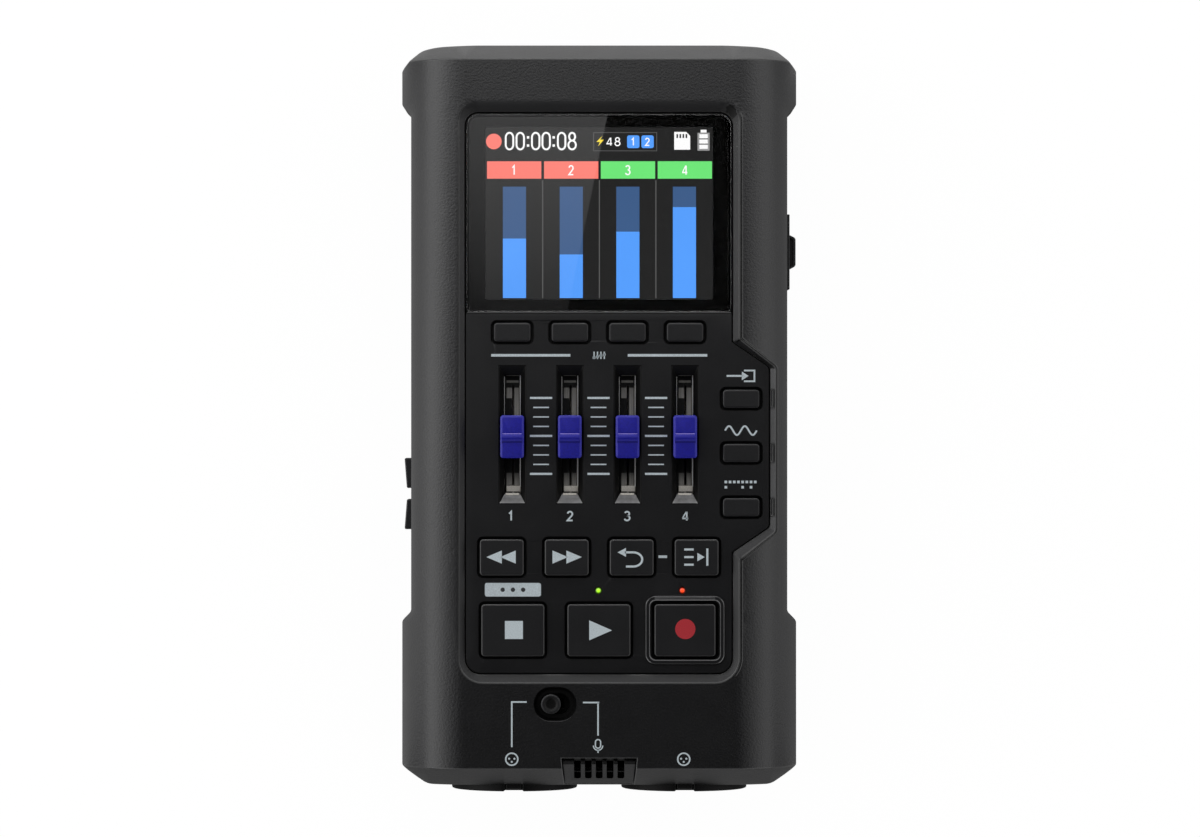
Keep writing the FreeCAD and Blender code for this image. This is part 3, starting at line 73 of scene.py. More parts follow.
lamp("lamp_far_end", (0, 1.2, 0.2), (0, 0, 0.03), (0.6, 0.26), 3.8)
lamp("lamp_left", (-1.0, 0.1, 0.25), (0, 0, 0.03), (1.2, 0.4), 3)
lamp("lamp_right", (0.95, 0.1, 0.25), (0, 0, 0.03), (1.2, 0.4), 1)


def material(name):
    """A new material with its node tree and its Principled shader."""
    made = bpy.data.materials.new(name)
    made.use_nodes = True
    return made, made.node_tree, made.node_tree.nodes["Principled BSDF"]


def feed(tree, node, sockets):
    """Gives input sockets, by name or number, a value of their own or a link from an output."""
    for name, value in sockets.items():
        if isinstance(value, bpy.types.NodeSocket):
            tree.links.new(value, node.inputs[name])
        else:
            node.inputs[name].default_value = value


def add(tree, kind, sockets, **settings):
    """A new node with its settings and its input sockets."""
    made = tree.nodes.new("ShaderNode" + kind)
    for name, value in settings.items():
        setattr(made, name, value)
    feed(tree, made, sockets)
    return made


def maths(tree, operation, *values):
    """The result of an arithmetic node on two or three values."""
    return add(tree, "Math", dict(enumerate(values)), operation=operation).outputs[0]


def between(tree, value, low, high, start=0.0, stop=1.0):
    """A value that runs from low to high as another one runs from start to stop."""
    reach = {"Value": value, "From Min": start, "From Max": stop, "To Min": low, "To Max": high}
    return add(tree, "MapRange", reach).outputs["Result"]


def place(tree, axis=None):
    """Where a point lies on the object, in metres, or how far along one axis."""
    at = add(tree, "TexCoord", {}).outputs["Object"]
    return add(tree, "SeparateXYZ", {0: at}).outputs[axis] if axis else at


def profile(tree, source, spots):
    """A value that runs in straight pieces through (place, level) spots as the source passes the places."""
    start, stop = spots[0][0], spots[-1][0]
    highest = max(level for at, level in spots)
    ramp = add(tree, "ValToRGB", {"Fac": between(tree, source, 0.0, 1.0, start, stop)})
    stops = ramp.color_ramp.elements
    stops[1].color = (spots[-1][1] / highest,) * 3 + (1,)
    stops[0].color = (spots[0][1] / highest,) * 3 + (1,)
    for at, level in spots[1:-1]:
        stops.new((at - start) / (stop - start)).color = (level / highest,) * 3 + (1,)
    return maths(tree, "MULTIPLY", ramp.outputs["Color"], highest)


def seen_directly(tree):
    """A value of 1 where the camera, a mirror or glass sees the surface, and 0 where it only lights."""
    path = add(tree, "LightPath", {}).outputs
    mirrored = maths(tree, "MAXIMUM", path["Is Camera Ray"], path["Is Glossy Ray"])
    return maths(tree, "MAXIMUM", mirrored, path["Is Transmission Ray"])


world = bpy.data.worlds.new("studio")
world.use_nodes = True
scene.world = world
sky_level = between(world.node_tree, seen_directly(world.node_tree), 0.45, 1.0)
feed(world.node_tree, world.node_tree.nodes["Background"], {"Color": (1, 1, 1, 1), "Strength": sky_level})


def stage_sheet(name, left, right, low, high, z, colour):
    """A flat staging rectangle with its material."""
    mesh = bpy.data.meshes.new(name)
    corners = [(left, low, z), (right, low, z), (right, high, z), (left, high, z)]
    mesh.from_pydata(corners, [], [(0, 1, 2, 3)])
    made = bpy.data.objects.new(name, mesh)
    scene.collection.objects.link(made)
    mesh.materials.append(colour)
    return made


def table_finish():
    """White table: diffuse, so that it takes the shadow, and lifted to white where it is looked at."""
    made, tree, shader = material("table_white")
    feed(tree, shader, {"Base Color": (0.85, 0.85, 0.85, 1), "Roughness": 0.9})
    glow = add(tree, "Emission", {"Strength": 1.04})
    share = maths(tree, "MULTIPLY", seen_directly(tree), 0.93)
    mix = add(tree, "MixShader", {0: share, 1: shader.outputs[0], 2: glow.outputs[0]})
    feed(tree, tree.nodes["Material Output"], {"Surface": mix.outputs[0]})
    return made


def card(name, left, right, low, high, z, level):
    """A card that only reflections see: it takes no light from the table and throws no shadow. How bright it
    is comes from level, a function that builds a value in the card's node tree."""
    made, tree, shader = material(name)
    glow = add(tree, "Emission", {"Strength": level(tree)})
    feed(tree, tree.nodes["Material Output"], {"Surface": glow.outputs[0]})
    sheet = stage_sheet(name, left, right, low, high, z, made)
    for kind in ("camera", "diffuse", "shadow", "volume_scatter"):
        setattr(sheet, "visible_" + kind, False)


def overhead_level(tree):
    """Black over the front, paler to both sides and with a bright band past the display end, and over the
    window a pale patch left of a slanted edge, which darkens towards the jack end."""
    x, y = place(tree, "X"), place(tree, "Y")
    edge = profile(tree, maths(tree, "MULTIPLY_ADD", y, -0.2045, x), ((-0.0131, 1.0), (-0.0128, 0.0)))
    patch = maths(tree, "MULTIPLY", edge, profile(tree, y, ((0.022, 0.06), (0.074, 0.62))))
    along = profile(tree, y, (
        (0.085, 0.0), (0.10, 1.75), (0.13, 1.75), (0.16, 0.85), (0.5, 0.9), (0.75, 1.05)))
    across = profile(tree, x, (
        (-0.62, 2.3), (-0.345, 1.8), (-0.2, 0.66), (-0.116, 0.05), (-0.07, 0.0), (0.07, 0.0), (0.095, 0.02),
        (0.17, 0.32), (0.26, 0.8), (0.36, 1.15), (0.62, 1.2)))
    return maths(tree, "ADD", maths(tree, "ADD", patch, along), across)


table_z, low_card_z, high_card_z = -0.00002, 0.0005, 0.3
stage_sheet("table", -4, 4, -4, 4, table_z, table_finish())
card("card_overhead", -0.62, 0.62, -0.9, 0.75, high_card_z, overhead_level)
for name, left, right, low, high, spots in (
    ("card_below", -0.6, 0.6, -0.8, -0.0705, ((-0.6, 0.25), (0.6, 0.25))),
    ("card_left", -0.5, -0.036, -0.07, 0.0695, ((-0.3, 1.6), (-0.125, 1.1), (-0.055, 0.5), (-0.042, 0.2))),
    ("card_right", 0.036, 0.5, -0.07, 0.0695, ((0.042, 0.12), (0.06, 0.35), (0.125, 0.75), (0.3, 0.95))),
    ("card_far", -0.6, 0.6, 0.07, 0.9, (
        (-0.3, 0.95), (-0.1, 0.42), (-0.03, 0.71), (0.03, 0.71), (0.1, 0.37), (0.3, 0.65))),
):
    card(name, left, right, low, high, low_card_z, lambda tree: profile(tree, place(tree, "X"), spots))


# Casings: two moulded halves of black ABS with a fine spark-eroded grain, held together by four screws
# from behind. Their crisp edges are rounded a little here, as a mould leaves them.

def table_of(items, field, width, kind=np.float64):
    """One field of a mesh's vertices, edges or faces as an array with that many columns."""
    values = np.empty(len(items) * width, dtype=kind)
    items.foreach_get(field, values)
    return values.reshape(-1, width)


def softened(node, body, width, finish, angle=30, painted_rounding=None, crisp=None):
    """The node's own shape as one joined mesh, in the node's place, with the edges rounded that are sharper
    than angle. Where painted_rounding is given, the roundings take that finish: a pale one paints a
    highlight on them and a dark one paints shade. An edge stays sharp where crisp picks its middle, and
    where its
    rounding would fold over: there the rounded copy has points that stand further off the shape than the
    width, and the edges that end near the roots of such a fold are left out."""
    mesh = nodes[node].data.copy()
    mesh.name = node + "_soft"
    made = bpy.data.objects.new(node + "_soft", mesh)
    scene.collection.objects.link(made)
    if mesh.has_custom_normals:
        mesh.attributes.remove(mesh.attributes["custom_normal"])
    work = bmesh.new()
    work.from_mesh(mesh)
    bmesh.ops.remove_doubles(work, verts=work.verts, dist=0.5e-6)
    bmesh.ops.dissolve_limit(work, angle_limit=math.radians(0.02), verts=work.verts, edges=work.edges)
    bends = np.array([edge.calc_face_angle(0) for edge in work.edges])
    hard = bends > math.radians(angle)
    sharp = hard.astype(np.float32)
    work.to_mesh(mesh)
    shape = BVHTree.FromBMesh(work)
    work.free()
    mesh.polygons.foreach_set("use_smooth", np.ones(len(mesh.polygons), dtype=bool))
    mesh.materials.clear()
    mesh.materials.append(finish)
    rounding = made.modifiers.new("rounding", "BEVEL")
    rounding.width = width * MM
    rounding.segments = 2
    rounding.limit_method = "WEIGHT"
    rounding.use_clamp_overlap = False
    rounding.loop_slide = False
    if painted_rounding:
        mesh.materials.append(painted_rounding)
        rounding.material = 1
    ends = table_of(mesh.vertices, "co", 3)[table_of(mesh.edges, "vertices", 2, np.int64)]
    if crisp:
        sharp[crisp(*(ends.mean(axis=1) / MM).T)] = 0
    share = mesh.attributes.new("bevel_weight_edge", "FLOAT", "EDGE")
    for attempt in range(4):
        share.data.foreach_set("value", sharp)
        mesh.update()
        rounded_copy = made.evaluated_get(bpy.context.evaluated_depsgraph_get()).to_mesh()
        points = table_of(rounded_copy.vertices, "co", 3)
        pairs = table_of(rounded_copy.edges, "vertices", 2, np.int64)
        stray = np.array([shape.find_nearest(point)[3] for point in points]) > 1.15 * width * MM
        if not stray.any():
            break
        leaving = pairs[stray[pairs[:, 0]] != stray[pairs[:, 1]]]
        roots = points[np.unique(np.where(stray[leaving[:, 0]], leaving[:, 1], leaving[:, 0]))]
        gap = np.linalg.norm(ends[:, :, None, :] - roots[None, None, :, :], axis=3).min(axis=(1, 2))
        sharp[gap < 2 * width * MM] = 0
    mesh.edges.foreach_set("use_edge_sharp", hard & (sharp == 0))
    shade = made.modifiers.new("shade", "WEIGHTED_NORMAL")
    shade.mode = "FACE_AREA_WITH_ANGLE"
    shade.keep_sharp = True
    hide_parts(node)
    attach(made, body)
    return made


def noise(tree, at, scale, detail=2.0):
    """Smooth random patches, 1 / scale metres across, as a value from 0 to 1."""
    return add(tree, "TexNoise", {"Vector": at, "Scale": scale, "Detail": detail}).outputs["Fac"]


def tinted(tree, colour, level):
    """A colour times a level."""
    first = colour if isinstance(colour, bpy.types.NodeSocket) else (*colour, 1)
    mix = {"Factor": 1.0, "A": first, "B": level}
    return add(tree, "Mix", mix, data_type="RGBA", blend_type="MULTIPLY").outputs["Result"]


def moulded(name, colour, roughness, specular=0.5, grain=0.3, depth=0.006, patchy=0.05, spots=None):
    """Plastic, rubber or ink: grain of that size and depth in mm as relief, its gloss uneven in larger
    patches. Where spots are given, its colour is multiplied by a level that runs through (y, level) spots,
    which paints light and shade along y."""
    made, tree, shader = material(name)
    fine = noise(tree, place(tree), 1 / (grain * MM))
    bump = add(tree, "Bump", {"Strength": 1.0, "Distance": depth * MM, "Height": fine})
    tint = tinted(tree, colour, between(tree, fine, 0.6, 1.4))
    if spots:
        tint = tinted(tree, tint, profile(tree, place(tree, "Y"), spots))
    gloss = between(tree, noise(tree, place(tree), 140.0, 3.0), roughness - patchy, roughness + patchy)
    feed(tree, shader, {"Base Color": tint, "Roughness": gloss, "Normal": bump.outputs["Normal"],
                        "Specular IOR Level": specular})
    return made


def second_finish(made, finish, chosen):
    """Gives faces a second finish where chosen says so, from the coordinates x, y, z of their middles in mm
    and the parts nx, ny, nz of their normals."""
    faces = made.data.polygons
    middles, normals = table_of(faces, "center", 3) / MM, table_of(faces, "normal", 3)
    picked = chosen(*middles.T, *normals.T)
    before = table_of(faces, "material_index", 1, np.int32).ravel()
    faces.foreach_set("material_index", np.where(picked, len(made.data.materials), before))
    made.data.materials.append(finish)


def near(value, middle, reach):
    """Where a value is less than reach away from the middle."""
    return np.abs(value - middle) < reach


def in_dish(x, y, z):
    """Where a place in mm is in the dish round the input switch."""
    return near(x, -8.4, 4.3) & near(y, -54.4, 3.5) & (z > 38.5)


def in_steps(x, y, z):
    """Where a place in mm is at the seam where a bumper steps out from the waist."""
    return (z > 18.5) & (near(y, -39.5, 1.5) | near(y, 60.9, 1.5))


def on_rim(x, y, z, nx, ny, nz):
    """Where a face is on the sloped rim round the control area: over the panel, and facing the middle."""
    return (z > 40.9) & (nz > 0.2) & (nz < 0.97) & (nx * x + ny * y < 0)


def on_bulge_rim(x, y, z, nx, ny, nz):
    """Where a face is on the rim's straight stretch past the three function keys."""
    return (z > 40.9) & (nz > 0.2) & (x > 31) & (nx < -0.2) & (np.abs(ny) < 0.3)


def painted_shade_faces(x, y, z, nx, ny, nz):
    """Where a face gets painted shade: on the rim's slanting stretch by the display, in the dish or in the
    grille's notch.
    """
    slanting = on_rim(x, y, z, nx, ny, nz) & (x > 24) & (y > 5) & (nx < -0.2) & (ny < -0.2)
    dished = in_dish(x, y, z) & (z < 41.95)
    notched = near(x, 0, 7.25) & near(y, -67.6, 2.9) & near(z, 35.5, 6.3)
    return slanting | dished | notched


case_finish = moulded("case_plastic", (0.0032, 0.0032, 0.0042), 0.38, 0.45, grain=0.4, depth=0.06,
                      patchy=0.03)
rim_finish = moulded("case_rim", (0.004, 0.004, 0.0048), 0.5, 0.34)
# the front casing's roundings get this pale finish, brighter towards both ends: painted edge highlights
painted_case_edge = moulded("case_edge_painted_highlight", (0.026, 0.026, 0.0265), 0.34, spots=(
    (-0.052, 1.8), (-0.046, 1.0), (-0.04, 0.6), (0.05, 0.5), (0.06, 1.0)))
# the rim's stretch past the function keys is painted pale as its highlight, and dark notches level with the
# keys are their painted shadows
painted_bulge_light = moulded("bulge_rim_painted_light", (0.11, 0.11, 0.112), 0.5, 0.1, spots=(
    (-0.0225, 0.7), (-0.0190, 0.9), (-0.0184, 0.02), (-0.0155, 0.02), (-0.0148, 0.85), (-0.0087, 0.85),
    (-0.0081, 0.02), (-0.0051, 0.02), (-0.0045, 0.85), (0.0016, 0.85), (0.0022, 0.02), (0.0053, 0.02),
    (0.0059, 0.95), (0.0097, 1.0)))
# a near-black finish that paints shade where faces lie in shadow: the rim by the display, the dish, the
# grille's notch and upper end, the panel's hole edges and slot ends, the knob's hollow, the switch body and
# the sockets' openings
painted_shade_finish = moulded("painted_shade", (0.0015, 0.0015, 0.0016), 0.45, 0.15)
front = softened("front_casing", "root", 0.2, case_finish, painted_rounding=painted_case_edge, crisp=in_dish)
second_finish(front, rim_finish, on_rim)
second_finish(front, painted_bulge_light, on_bulge_rim)
second_finish(front, painted_shade_finish, painted_shade_faces)
softened("rear_casing", "root", 0.2, case_finish, crisp=in_steps)


# Control panel: a separate black moulding set into the front, with holes for the keys, lights and faders and
# a low ridge round the record key. It is smoother than the casing. The marks are printed in pale ink, on the
# panel and on the casing below it.

panel_top = 41.0
case_top = 42.0
print_lift = 0.012
panel_finish = moulded("panel_plastic", (0.0052, 0.0052, 0.0064), 0.37, 0.38, depth=0.003)
# the panel's hole roundings and the sloped sides down the fader slots take the near-black finish as painted
# shade
panel = softened("control_panel", "root", 0.13, panel_finish, painted_rounding=painted_shade_finish)
second_finish(panel, painted_shade_finish, lambda x, y, z, nx, ny, nz: (
    (z < panel_top - 0.01) & near(y, -3.05, 13.5) & near(x, -0.1, 20) & (nz < 0.97)))


def piece(name, shape, finish, body, stands_for=()):
    """A mesh that moves with that body, from a shape in mm: its points, and its faces in blocks, where a
    block is an array with one face in each row."""
    points, blocks = shape
    mesh = bpy.data.meshes.new(name)
    mesh.from_pydata((points * MM).tolist(), [], [face for block in blocks for face in block.tolist()])
    mesh.polygons.foreach_set("use_smooth", np.ones(len(mesh.polygons), dtype=bool))
    mesh.set_sharp_from_angle(angle=math.radians(35))
    mesh.materials.append(finish)
    made = bpy.data.objects.new(name, mesh)
    scene.collection.objects.link(made)
    if stands_for:
        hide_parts(*stands_for)
    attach(made, body)
    return made


def merge(shapes):
    """Several shapes as one: all their points, and their faces counted on from each one's first point."""
    starts = np.cumsum([0] + [len(points) for points, blocks in shapes])
    blocks = [block + start for (points, own), start in zip(shapes, starts) for block in own]
    return np.vstack([points for points, own in shapes]), blocks


def spread(x, y, z):
    """Rings of points from three coordinates, each of them spread over the grid of rings and points."""
    return np.stack(np.broadcast_arrays(x, y, z), axis=-1)


def rounded(left, right, low, high, corners, rows, steps=7):
    """Rings of a rectangle with rounded corners, from the lower left one round, for (inset, z) rows: in each
    row a corner's radius r is its own less the inset, its centre lies inset + r from both sides, and its
    points are the centre + r (cos t, sin t) with t over a quarter turn."""
    inset, z = np.array(rows, dtype=float).T[:, :, None, None]
    radius = np.maximum(np.array(corners)[:, None] - inset, 0.02)
    turn = np.radians(np.array([[180], [270], [0], [90]]) + np.linspace(0, 90, steps))
    x = np.array([[left], [right], [right], [left]]) + (inset + radius) * [[1], [-1], [-1], [1]]
    y = np.array([[low], [low], [high], [high]]) + (inset + radius) * [[1], [1], [-1], [-1]]
    rings = spread(x + radius * np.cos(turn), y + radius * np.sin(turn), z)
    return rings.reshape(len(rings), -1, 3)


def arc(x, y, across, along, start, stop, count=12):
    """Points (x + across cos t, y + along sin t), with t from start to stop in degrees."""
    turn = np.radians(np.linspace(start, stop, count))
    return np.column_stack([x + across * np.cos(turn), y + along * np.sin(turn)])


def mitre(path, closed):
    """The step at each point of a path that moves both its legs 1 to the left: along the mean of their
    normals, with a length of 1 over the cosine of half the turn between them, and 2.5 at most."""
    legs = np.roll(path, -1, axis=0) - path
    if not closed:
        legs[-1] = legs[-2]
    legs /= np.linalg.norm(legs, axis=1)[:, None]
    before = np.roll(legs, 1, axis=0)
    if not closed:
        before[0] = legs[0]
    normal = (legs + before)[:, ::-1] * (-1, 1)
    normal /= np.linalg.norm(normal, axis=1)[:, None]
    cosine = np.sum(normal * legs[:, ::-1] * (-1, 1), axis=1)
    return normal / np.maximum(cosine, 1 / 2.5)[:, None]


def stroke(path, width, closed=False):
    """A flat ribbon along a path: its two edges are the path moved half the width to either side."""
    path = np.asarray(path, dtype=float)
    side = mitre(path, closed) * width / 2
    count = len(path)
    point = np.arange(count if closed else count - 1)
    beside = (point + 1) % count
    faces = np.column_stack([point, beside, count + beside, count + point])
    return np.vstack([path - side, path + side]), [faces]


def fill(outline):
    """One flat face within an outline that runs counter-clockwise."""
    return np.asarray(outline, dtype=float), [np.arange(len(outline))[None]]


def disc(x, y, radius):
    """A flat round face: 24 points on a circle."""
    return fill(arc(x, y, radius, radius, 0, 345, 24))


def bar(left, right, low, high):
    """A flat rectangle between its four sides."""
    return fill([(left, low), (right, low), (right, high), (left, high)])


def rounded_bar(left, right, low, high, radius, steps=7):
    """A flat rectangle with rounded corners."""
    return fill(rounded(left, right, low, high, (radius,) * 4, ((0, 0),), steps)[0, :, :2])


def figure(digit, x, y, tall, wide, weight):
    """Strokes of a numeral, one of 0, 1, 2, 3, 4 and 8, in a box of that size with its lower left corner at
    x, y. Their paths are lines and arcs in a box of 1 by 1, scaled to leave half a stroke on each side."""
    def inked(*paths, closed=False, thin=1.0):
        box, corner = (wide - weight, tall - weight), (x + weight / 2, y + weight / 2)
        return [stroke(np.vstack(path) * box + corner, weight * thin, closed) for path in paths]
    if digit == "0":
        return inked([arc(0.5, 0.72, 0.5, 0.28, 0, 180), arc(0.5, 0.28, 0.5, 0.28, 180, 360)], closed=True)
    if digit == "1":
        return inked([(0.12, 0.76), (0.52, 1), (0.52, 0)])
    if digit == "2":
        return inked([arc(0.48, 0.73, 0.46, 0.27, 170, -35), [(0, 0), (1, 0)]])
    if digit == "3":
        return inked([arc(0.46, 0.765, 0.44, 0.235, 160, -90)], [arc(0.46, 0.265, 0.52, 0.265, 90, -165)])
    if digit == "4":
        slope = inked([(0.72, 1), (-0.04, 0.24)], thin=0.75)
        return inked([(0.8, 0), (0.8, 1)]) + slope + inked([(-0.1, 0.24), (1.08, 0.24)])
    upper, lower = arc(0.5, 0.765, 0.4, 0.235, 0, 345, 20), arc(0.5, 0.265, 0.5, 0.265, 0, 345, 20)
    return inked([upper], [lower], closed=True)


def flat(name, shapes, z, finish, body, slot):
    """Printed or lit shapes as one flat sheet at a height."""
    points, blocks = merge(shapes)
    piece(name, (np.column_stack([points, np.full(len(points), z)]), blocks), finish, body)


# two lines with four small sliders between them, the faders' scales and numbers, and a dash by two keys
ink_finish = moulded("pale_ink", (0.65, 0.74, 0.785), 0.5, grain=0.15, depth=0.002)
panel_marks = [bar(-20.6, -5.5, 11.8, 12.3), bar(5.45, 20.6, 11.8, 12.3)]
for step in (-1.5, -0.5, 0.5, 1.5):
    middle, knob = 0.65 * step, 11.9 + 0.2 * step
    panel_marks.append(bar(middle - 0.12, middle + 0.12, 11.35, 12.75))
    panel_marks.append(bar(middle - 0.26, middle + 0.26, knob - 0.2, knob + 0.2))
for x in (-11.08, -0.13, 10.85):
    for row in range(9):
        half, thick = (2.12, 0.2) if row % 4 == 0 else (1.5, 0.125)
        y = 3.92 - 1.81 * row
        panel_marks.append(bar(x - half, x + half, y - thick, y + thick))
for digit, x in (("1", -16.8), ("2", -5.55), ("3", 5.35), ("4", 16.4)):
    panel_marks += figure(digit, x - 0.65, -19.6, 2.0, 1.3, 0.32)
panel_marks.append(bar(11.3, 12.95, -26.6, -26.1))
flat("panel_print", panel_marks, panel_top + print_lift, ink_finish, "root", None)

# pictures by the three function keys: a plug going in, a wave, a step pattern
arrow_in = [bar(24.3, 27.3, 7.95, 8.3), fill([(27.2, 7.3), (28.5, 8.12), (27.2, 8.95)]),
            stroke([(27.6, 9.15), (29.6, 9.15), (29.6, 7.1), (27.6, 7.1)], 0.32)]
turn = np.linspace(0, 4 * np.pi, 40)
wave = [stroke(np.column_stack([24.0 + turn * 0.48, -2.3 + 0.85 * np.sin(turn)]), 0.34)]
pattern = []
for column in range(8):
    x = 23.9 + 0.8 * column
    pattern.append(bar(x, x + 0.5, -12.35, -11.85))
    if column in (0, 4, 6):
        pattern.append(bar(x, x + 0.5, -13.35, -12.85))
flat("function_print", arrow_in + wave + pattern, panel_top + print_lift, ink_finish, "root", None)

# a pale label with three dark dots over the stop key
label = rounded_bar(-21.8, -11.1, -33.95, -31.35, 0.4, 5)
flat("label_print", [label], panel_top + print_lift, ink_finish, "root", None)
dark_ink = moulded("dark_ink", (0.02, 0.022, 0.025), 0.5, grain=0.15, depth=0.002)
label_dots = [disc(x, -32.65, 0.42) for x in (-18.4, -16.45, -14.5)]
flat("label_dots", label_dots, panel_top + 0.02, dark_ink, "root", None)

# marks on the casing below the panel: brackets from the switch to two sockets and a microphone
sockets_y = -64.9
casing_marks = [stroke([(-13.8, -54.0), (-16.65, -54.0), (-16.65, -62.6)], 0.3),
                stroke([(0.0, -54.1), (-3.1, -54.1)], 0.3), stroke([(-0.22, -54.1), (-0.22, -60.4)], 0.3)]
for x in (-16.65, 16.1):
    casing_marks.append(stroke(arc(x, sockets_y, 1.15, 1.15, 0, 345, 24), 0.28, closed=True))
    casing_marks += [disc(x + a, sockets_y + b, 0.2) for a, b in ((-0.5, 0.1), (0.5, 0.1), (0, -0.5))]
capsule = np.vstack([arc(-0.22, -61.65, 0.5, 0.5, 0, 180, 9), arc(-0.22, -62.3, 0.5, 0.5, 180, 360, 9)])
casing_marks.append(stroke(capsule, 0.24, closed=True))
casing_marks.append(stroke([(-0.22, -63.2), (-0.22, -63.7)], 0.24))
casing_marks.append(stroke(arc(-0.22, -62.3, 0.9, 0.9, 180, 360, 12), 0.22))
flat("casing_print", casing_marks, case_top + print_lift, ink_finish, "root", None)


# Display window: a clear moulded cover with a rounded upper edge, bonded into the recess. A black border is
# printed behind it, and smears of handling make its gloss a little uneven.

def loft(rings, closed=True):
    """The surface through rings of equally many points, bottom ring first: point i of a ring, its next
    neighbour and the same two points of the next ring are the corners of a face. closed fills both ends."""
    rows, count = rings.shape[:2]
    grid = np.arange(rows * count).reshape(rows, count)
    beside = np.roll(grid, -1, axis=1)
    sides = np.stack([grid[:-1], beside[:-1], beside[1:], grid[1:]], axis=-1).reshape(-1, 4)
    return rings.reshape(-1, 3), [sides, grid[:1, ::-1], grid[-1:]] if closed else [sides]


def slab(left, right, low, high, corners, rows):
    """A solid with rounded corners whose sides follow the (inset, z) rows, bottom first."""
    return loft(rounded(left, right, low, high, corners, rows))


def rounded_rows(edge, low, high, steps=5):
    """(inset, z) rows of an upright side and the rim of a flat top. Between them a quarter turn t of radius
    edge leads over: inset edge (1 - cos t), height high - edge (1 - sin t)."""
    turn = np.linspace(0, np.pi / 2, steps)
    over = np.column_stack([edge * (1 - np.cos(turn)), high - edge + edge * np.sin(turn)])
    return np.vstack([(0, low), over, (edge + 0.15, high)])


glass_finish, tree, shader = material("window_glass")
smears = between(tree, noise(tree, place(tree), 60.0, 4.0), 0.0, 0.006)
feed(tree, shader, {"Base Color": (0.97, 0.97, 0.97, 1), "Roughness": smears, "IOR": 1.49,
                    "Transmission Weight": 1.0})
window = (-25.3, 25.15, 20.4, 58.1, (0.6, 0.6, 2.3, 2.3))
cover = slab(*window, rounded_rows(0.2, 39.0, 41.2))
piece("window_cover", cover, glass_finish, "root", ("display_window",))

border_finish = moulded("window_border", (0.001, 0.001, 0.0012), 0.5, 0.1, depth=0.001)
skirt = rounded(*window, ((0.0, panel_top), (-0.16, panel_top), (-0.16, 38.97)))
picture_edge = rounded(-21.75, 21.75, 22.7, 55.7, (0.3,) * 4, ((0, 38.97),))
border = loft(np.vstack([skirt, picture_edge]), closed=False)
piece("window_border", border, border_finish, "root")


# Lips: pale beads on edges of the control panel that paint the highlights those edges catch. Two thin
# beads and a low strip lie on the ridge round the record key, and a bead runs along the window's lower edge.

def bead(start, stop, y, z, half_long, half_high):
    """A thin straight rod from x = start to x = stop: (x, y + half_long cos t, z + half_high sin t) with t
    over a whole turn."""
    turn = np.linspace(0, 2 * np.pi, 8, endpoint=False)
    x = np.array([[start], [stop]])
    return loft(spread(x, y + half_long * np.cos(turn), z + half_high * np.sin(turn)))


painted_lip_highlight = moulded("panel_lip_painted_highlight", (0.075, 0.075, 0.077), 0.3, grain=0.2, depth=0.002)
# the ridge's beads are brighter in narrow bands along y: painted highlight lines
painted_ridge_highlight = moulded("ridge_lip_painted_highlight", (0.105, 0.105, 0.107), 0.3, spots=(
    (-0.0470, 0.2), (-0.0466, 0.2), (-0.0464, 2.0), (-0.0458, 2.0), (-0.0450, 1.1), (-0.0360, 1.1),
    (-0.0350, 1.7), (-0.0345, 1.7), (-0.0344, 0.5), (-0.0341, 0.5), (-0.0340, 1.3), (-0.0338, 1.3)))
ridge_top = panel_top + 0.36
over = np.linspace(0, np.pi, 9)
lips = []
for inset, wide in ((0, 0.16), (0.66, 0.2)):
    rows = np.column_stack([inset + wide / 2 * (1 - np.cos(over)), ridge_top + 0.1 * np.sin(over)])
    lips.append(loft(rounded(8.86, 23.86, -46.84, -33.86, (1.9,) * 4, rows), closed=False))
lips.append(slab(10.6, 22.1, -34.5, -34.05, (0.1,) * 4, ((0, 41.35), (0, 41.42), (0.05, 41.45))))
piece("ridge_lips", merge(lips), painted_ridge_highlight, "root")
piece("panel_sill", bead(25.1, -25.2, 20.2, 40.95, 0.1, 0.1), painted_lip_highlight, "root")


# Display module: a steel tray with a small colour liquid-crystal panel, lit from behind. What it shows is
# built from flat shapes on its own grid of 320 by 240 dots: a counter, four meters and a battery.

tray_finish = moulded("tray_steel", (0.12, 0.12, 0.125), 0.35, grain=0.2, depth=0.002)
softened("display_module", "root", 0.08, tray_finish)
dot_wide, dot_tall = 0.13531, 0.13667


def lit(name, colour):
    """Lit dots: the colour as emission, a little uneven across the panel and darker between dot rows."""
    made, tree, shader = material(name)
    rows = add(tree, "TexWave", {"Vector": place(tree), "Scale": 1 / (0.1367 * MM) / 3.1416},
               wave_type="BANDS", bands_direction="Y")
    both = maths(tree, "MULTIPLY_ADD", rows.outputs["Fac"], 0.5, noise(tree, place(tree), 90.0))
    glow = tinted(tree, colour, between(tree, both, 0.92, 1.08, 0.0, 1.5))
    feed(tree, shader, {"Emission Color": glow, "Emission Strength": 1.1, "Roughness": 0.4,
                        "Base Color": (0.001, 0.001, 0.001, 1), "Specular IOR Level": 0.05})
    return made


def dots(points):
    """Places on the panel's dot grid, counted from its upper left corner, in mm."""
    return np.asarray(points) * (dot_wide, -dot_tall) + (-21.65, 55.6)


def block(left, right, top, low):
    """A flat rectangle on the dot grid."""
    return fill(dots([(left, low), (right, low), (right, top), (left, top)]))


def on_dots(digit, x, low, tall, wide, weight):
    """A numeral on the dot grid."""
    left, bottom = dots((x, low))
    return figure(digit, left, bottom, tall * 0.1367, wide * 0.1353, weight * 0.136)


# most of the picture: four tabs over four meters, each lit up to its top
tabs = (1.7, 82.2, 162.3, 242.6)
meters = (24.1, 104.3, 184.2, 264.0)
tops = (155.4, 177.6, 145.8, 111.5)
tab_bars = [block(x, x + 76.6, 47.4, 71.7) for x in tabs]
unlit = [block(x, x + 32.6, 82.9, top) for x, top in zip(meters, tops)]
lit_up = [block(x, x + 32.6, top, 238.5) for x, top in zip(meters, tops)]
dividers = [block(x, x + 1.3, 74, 239) for x in (79.6, 159.6, 239.4)]

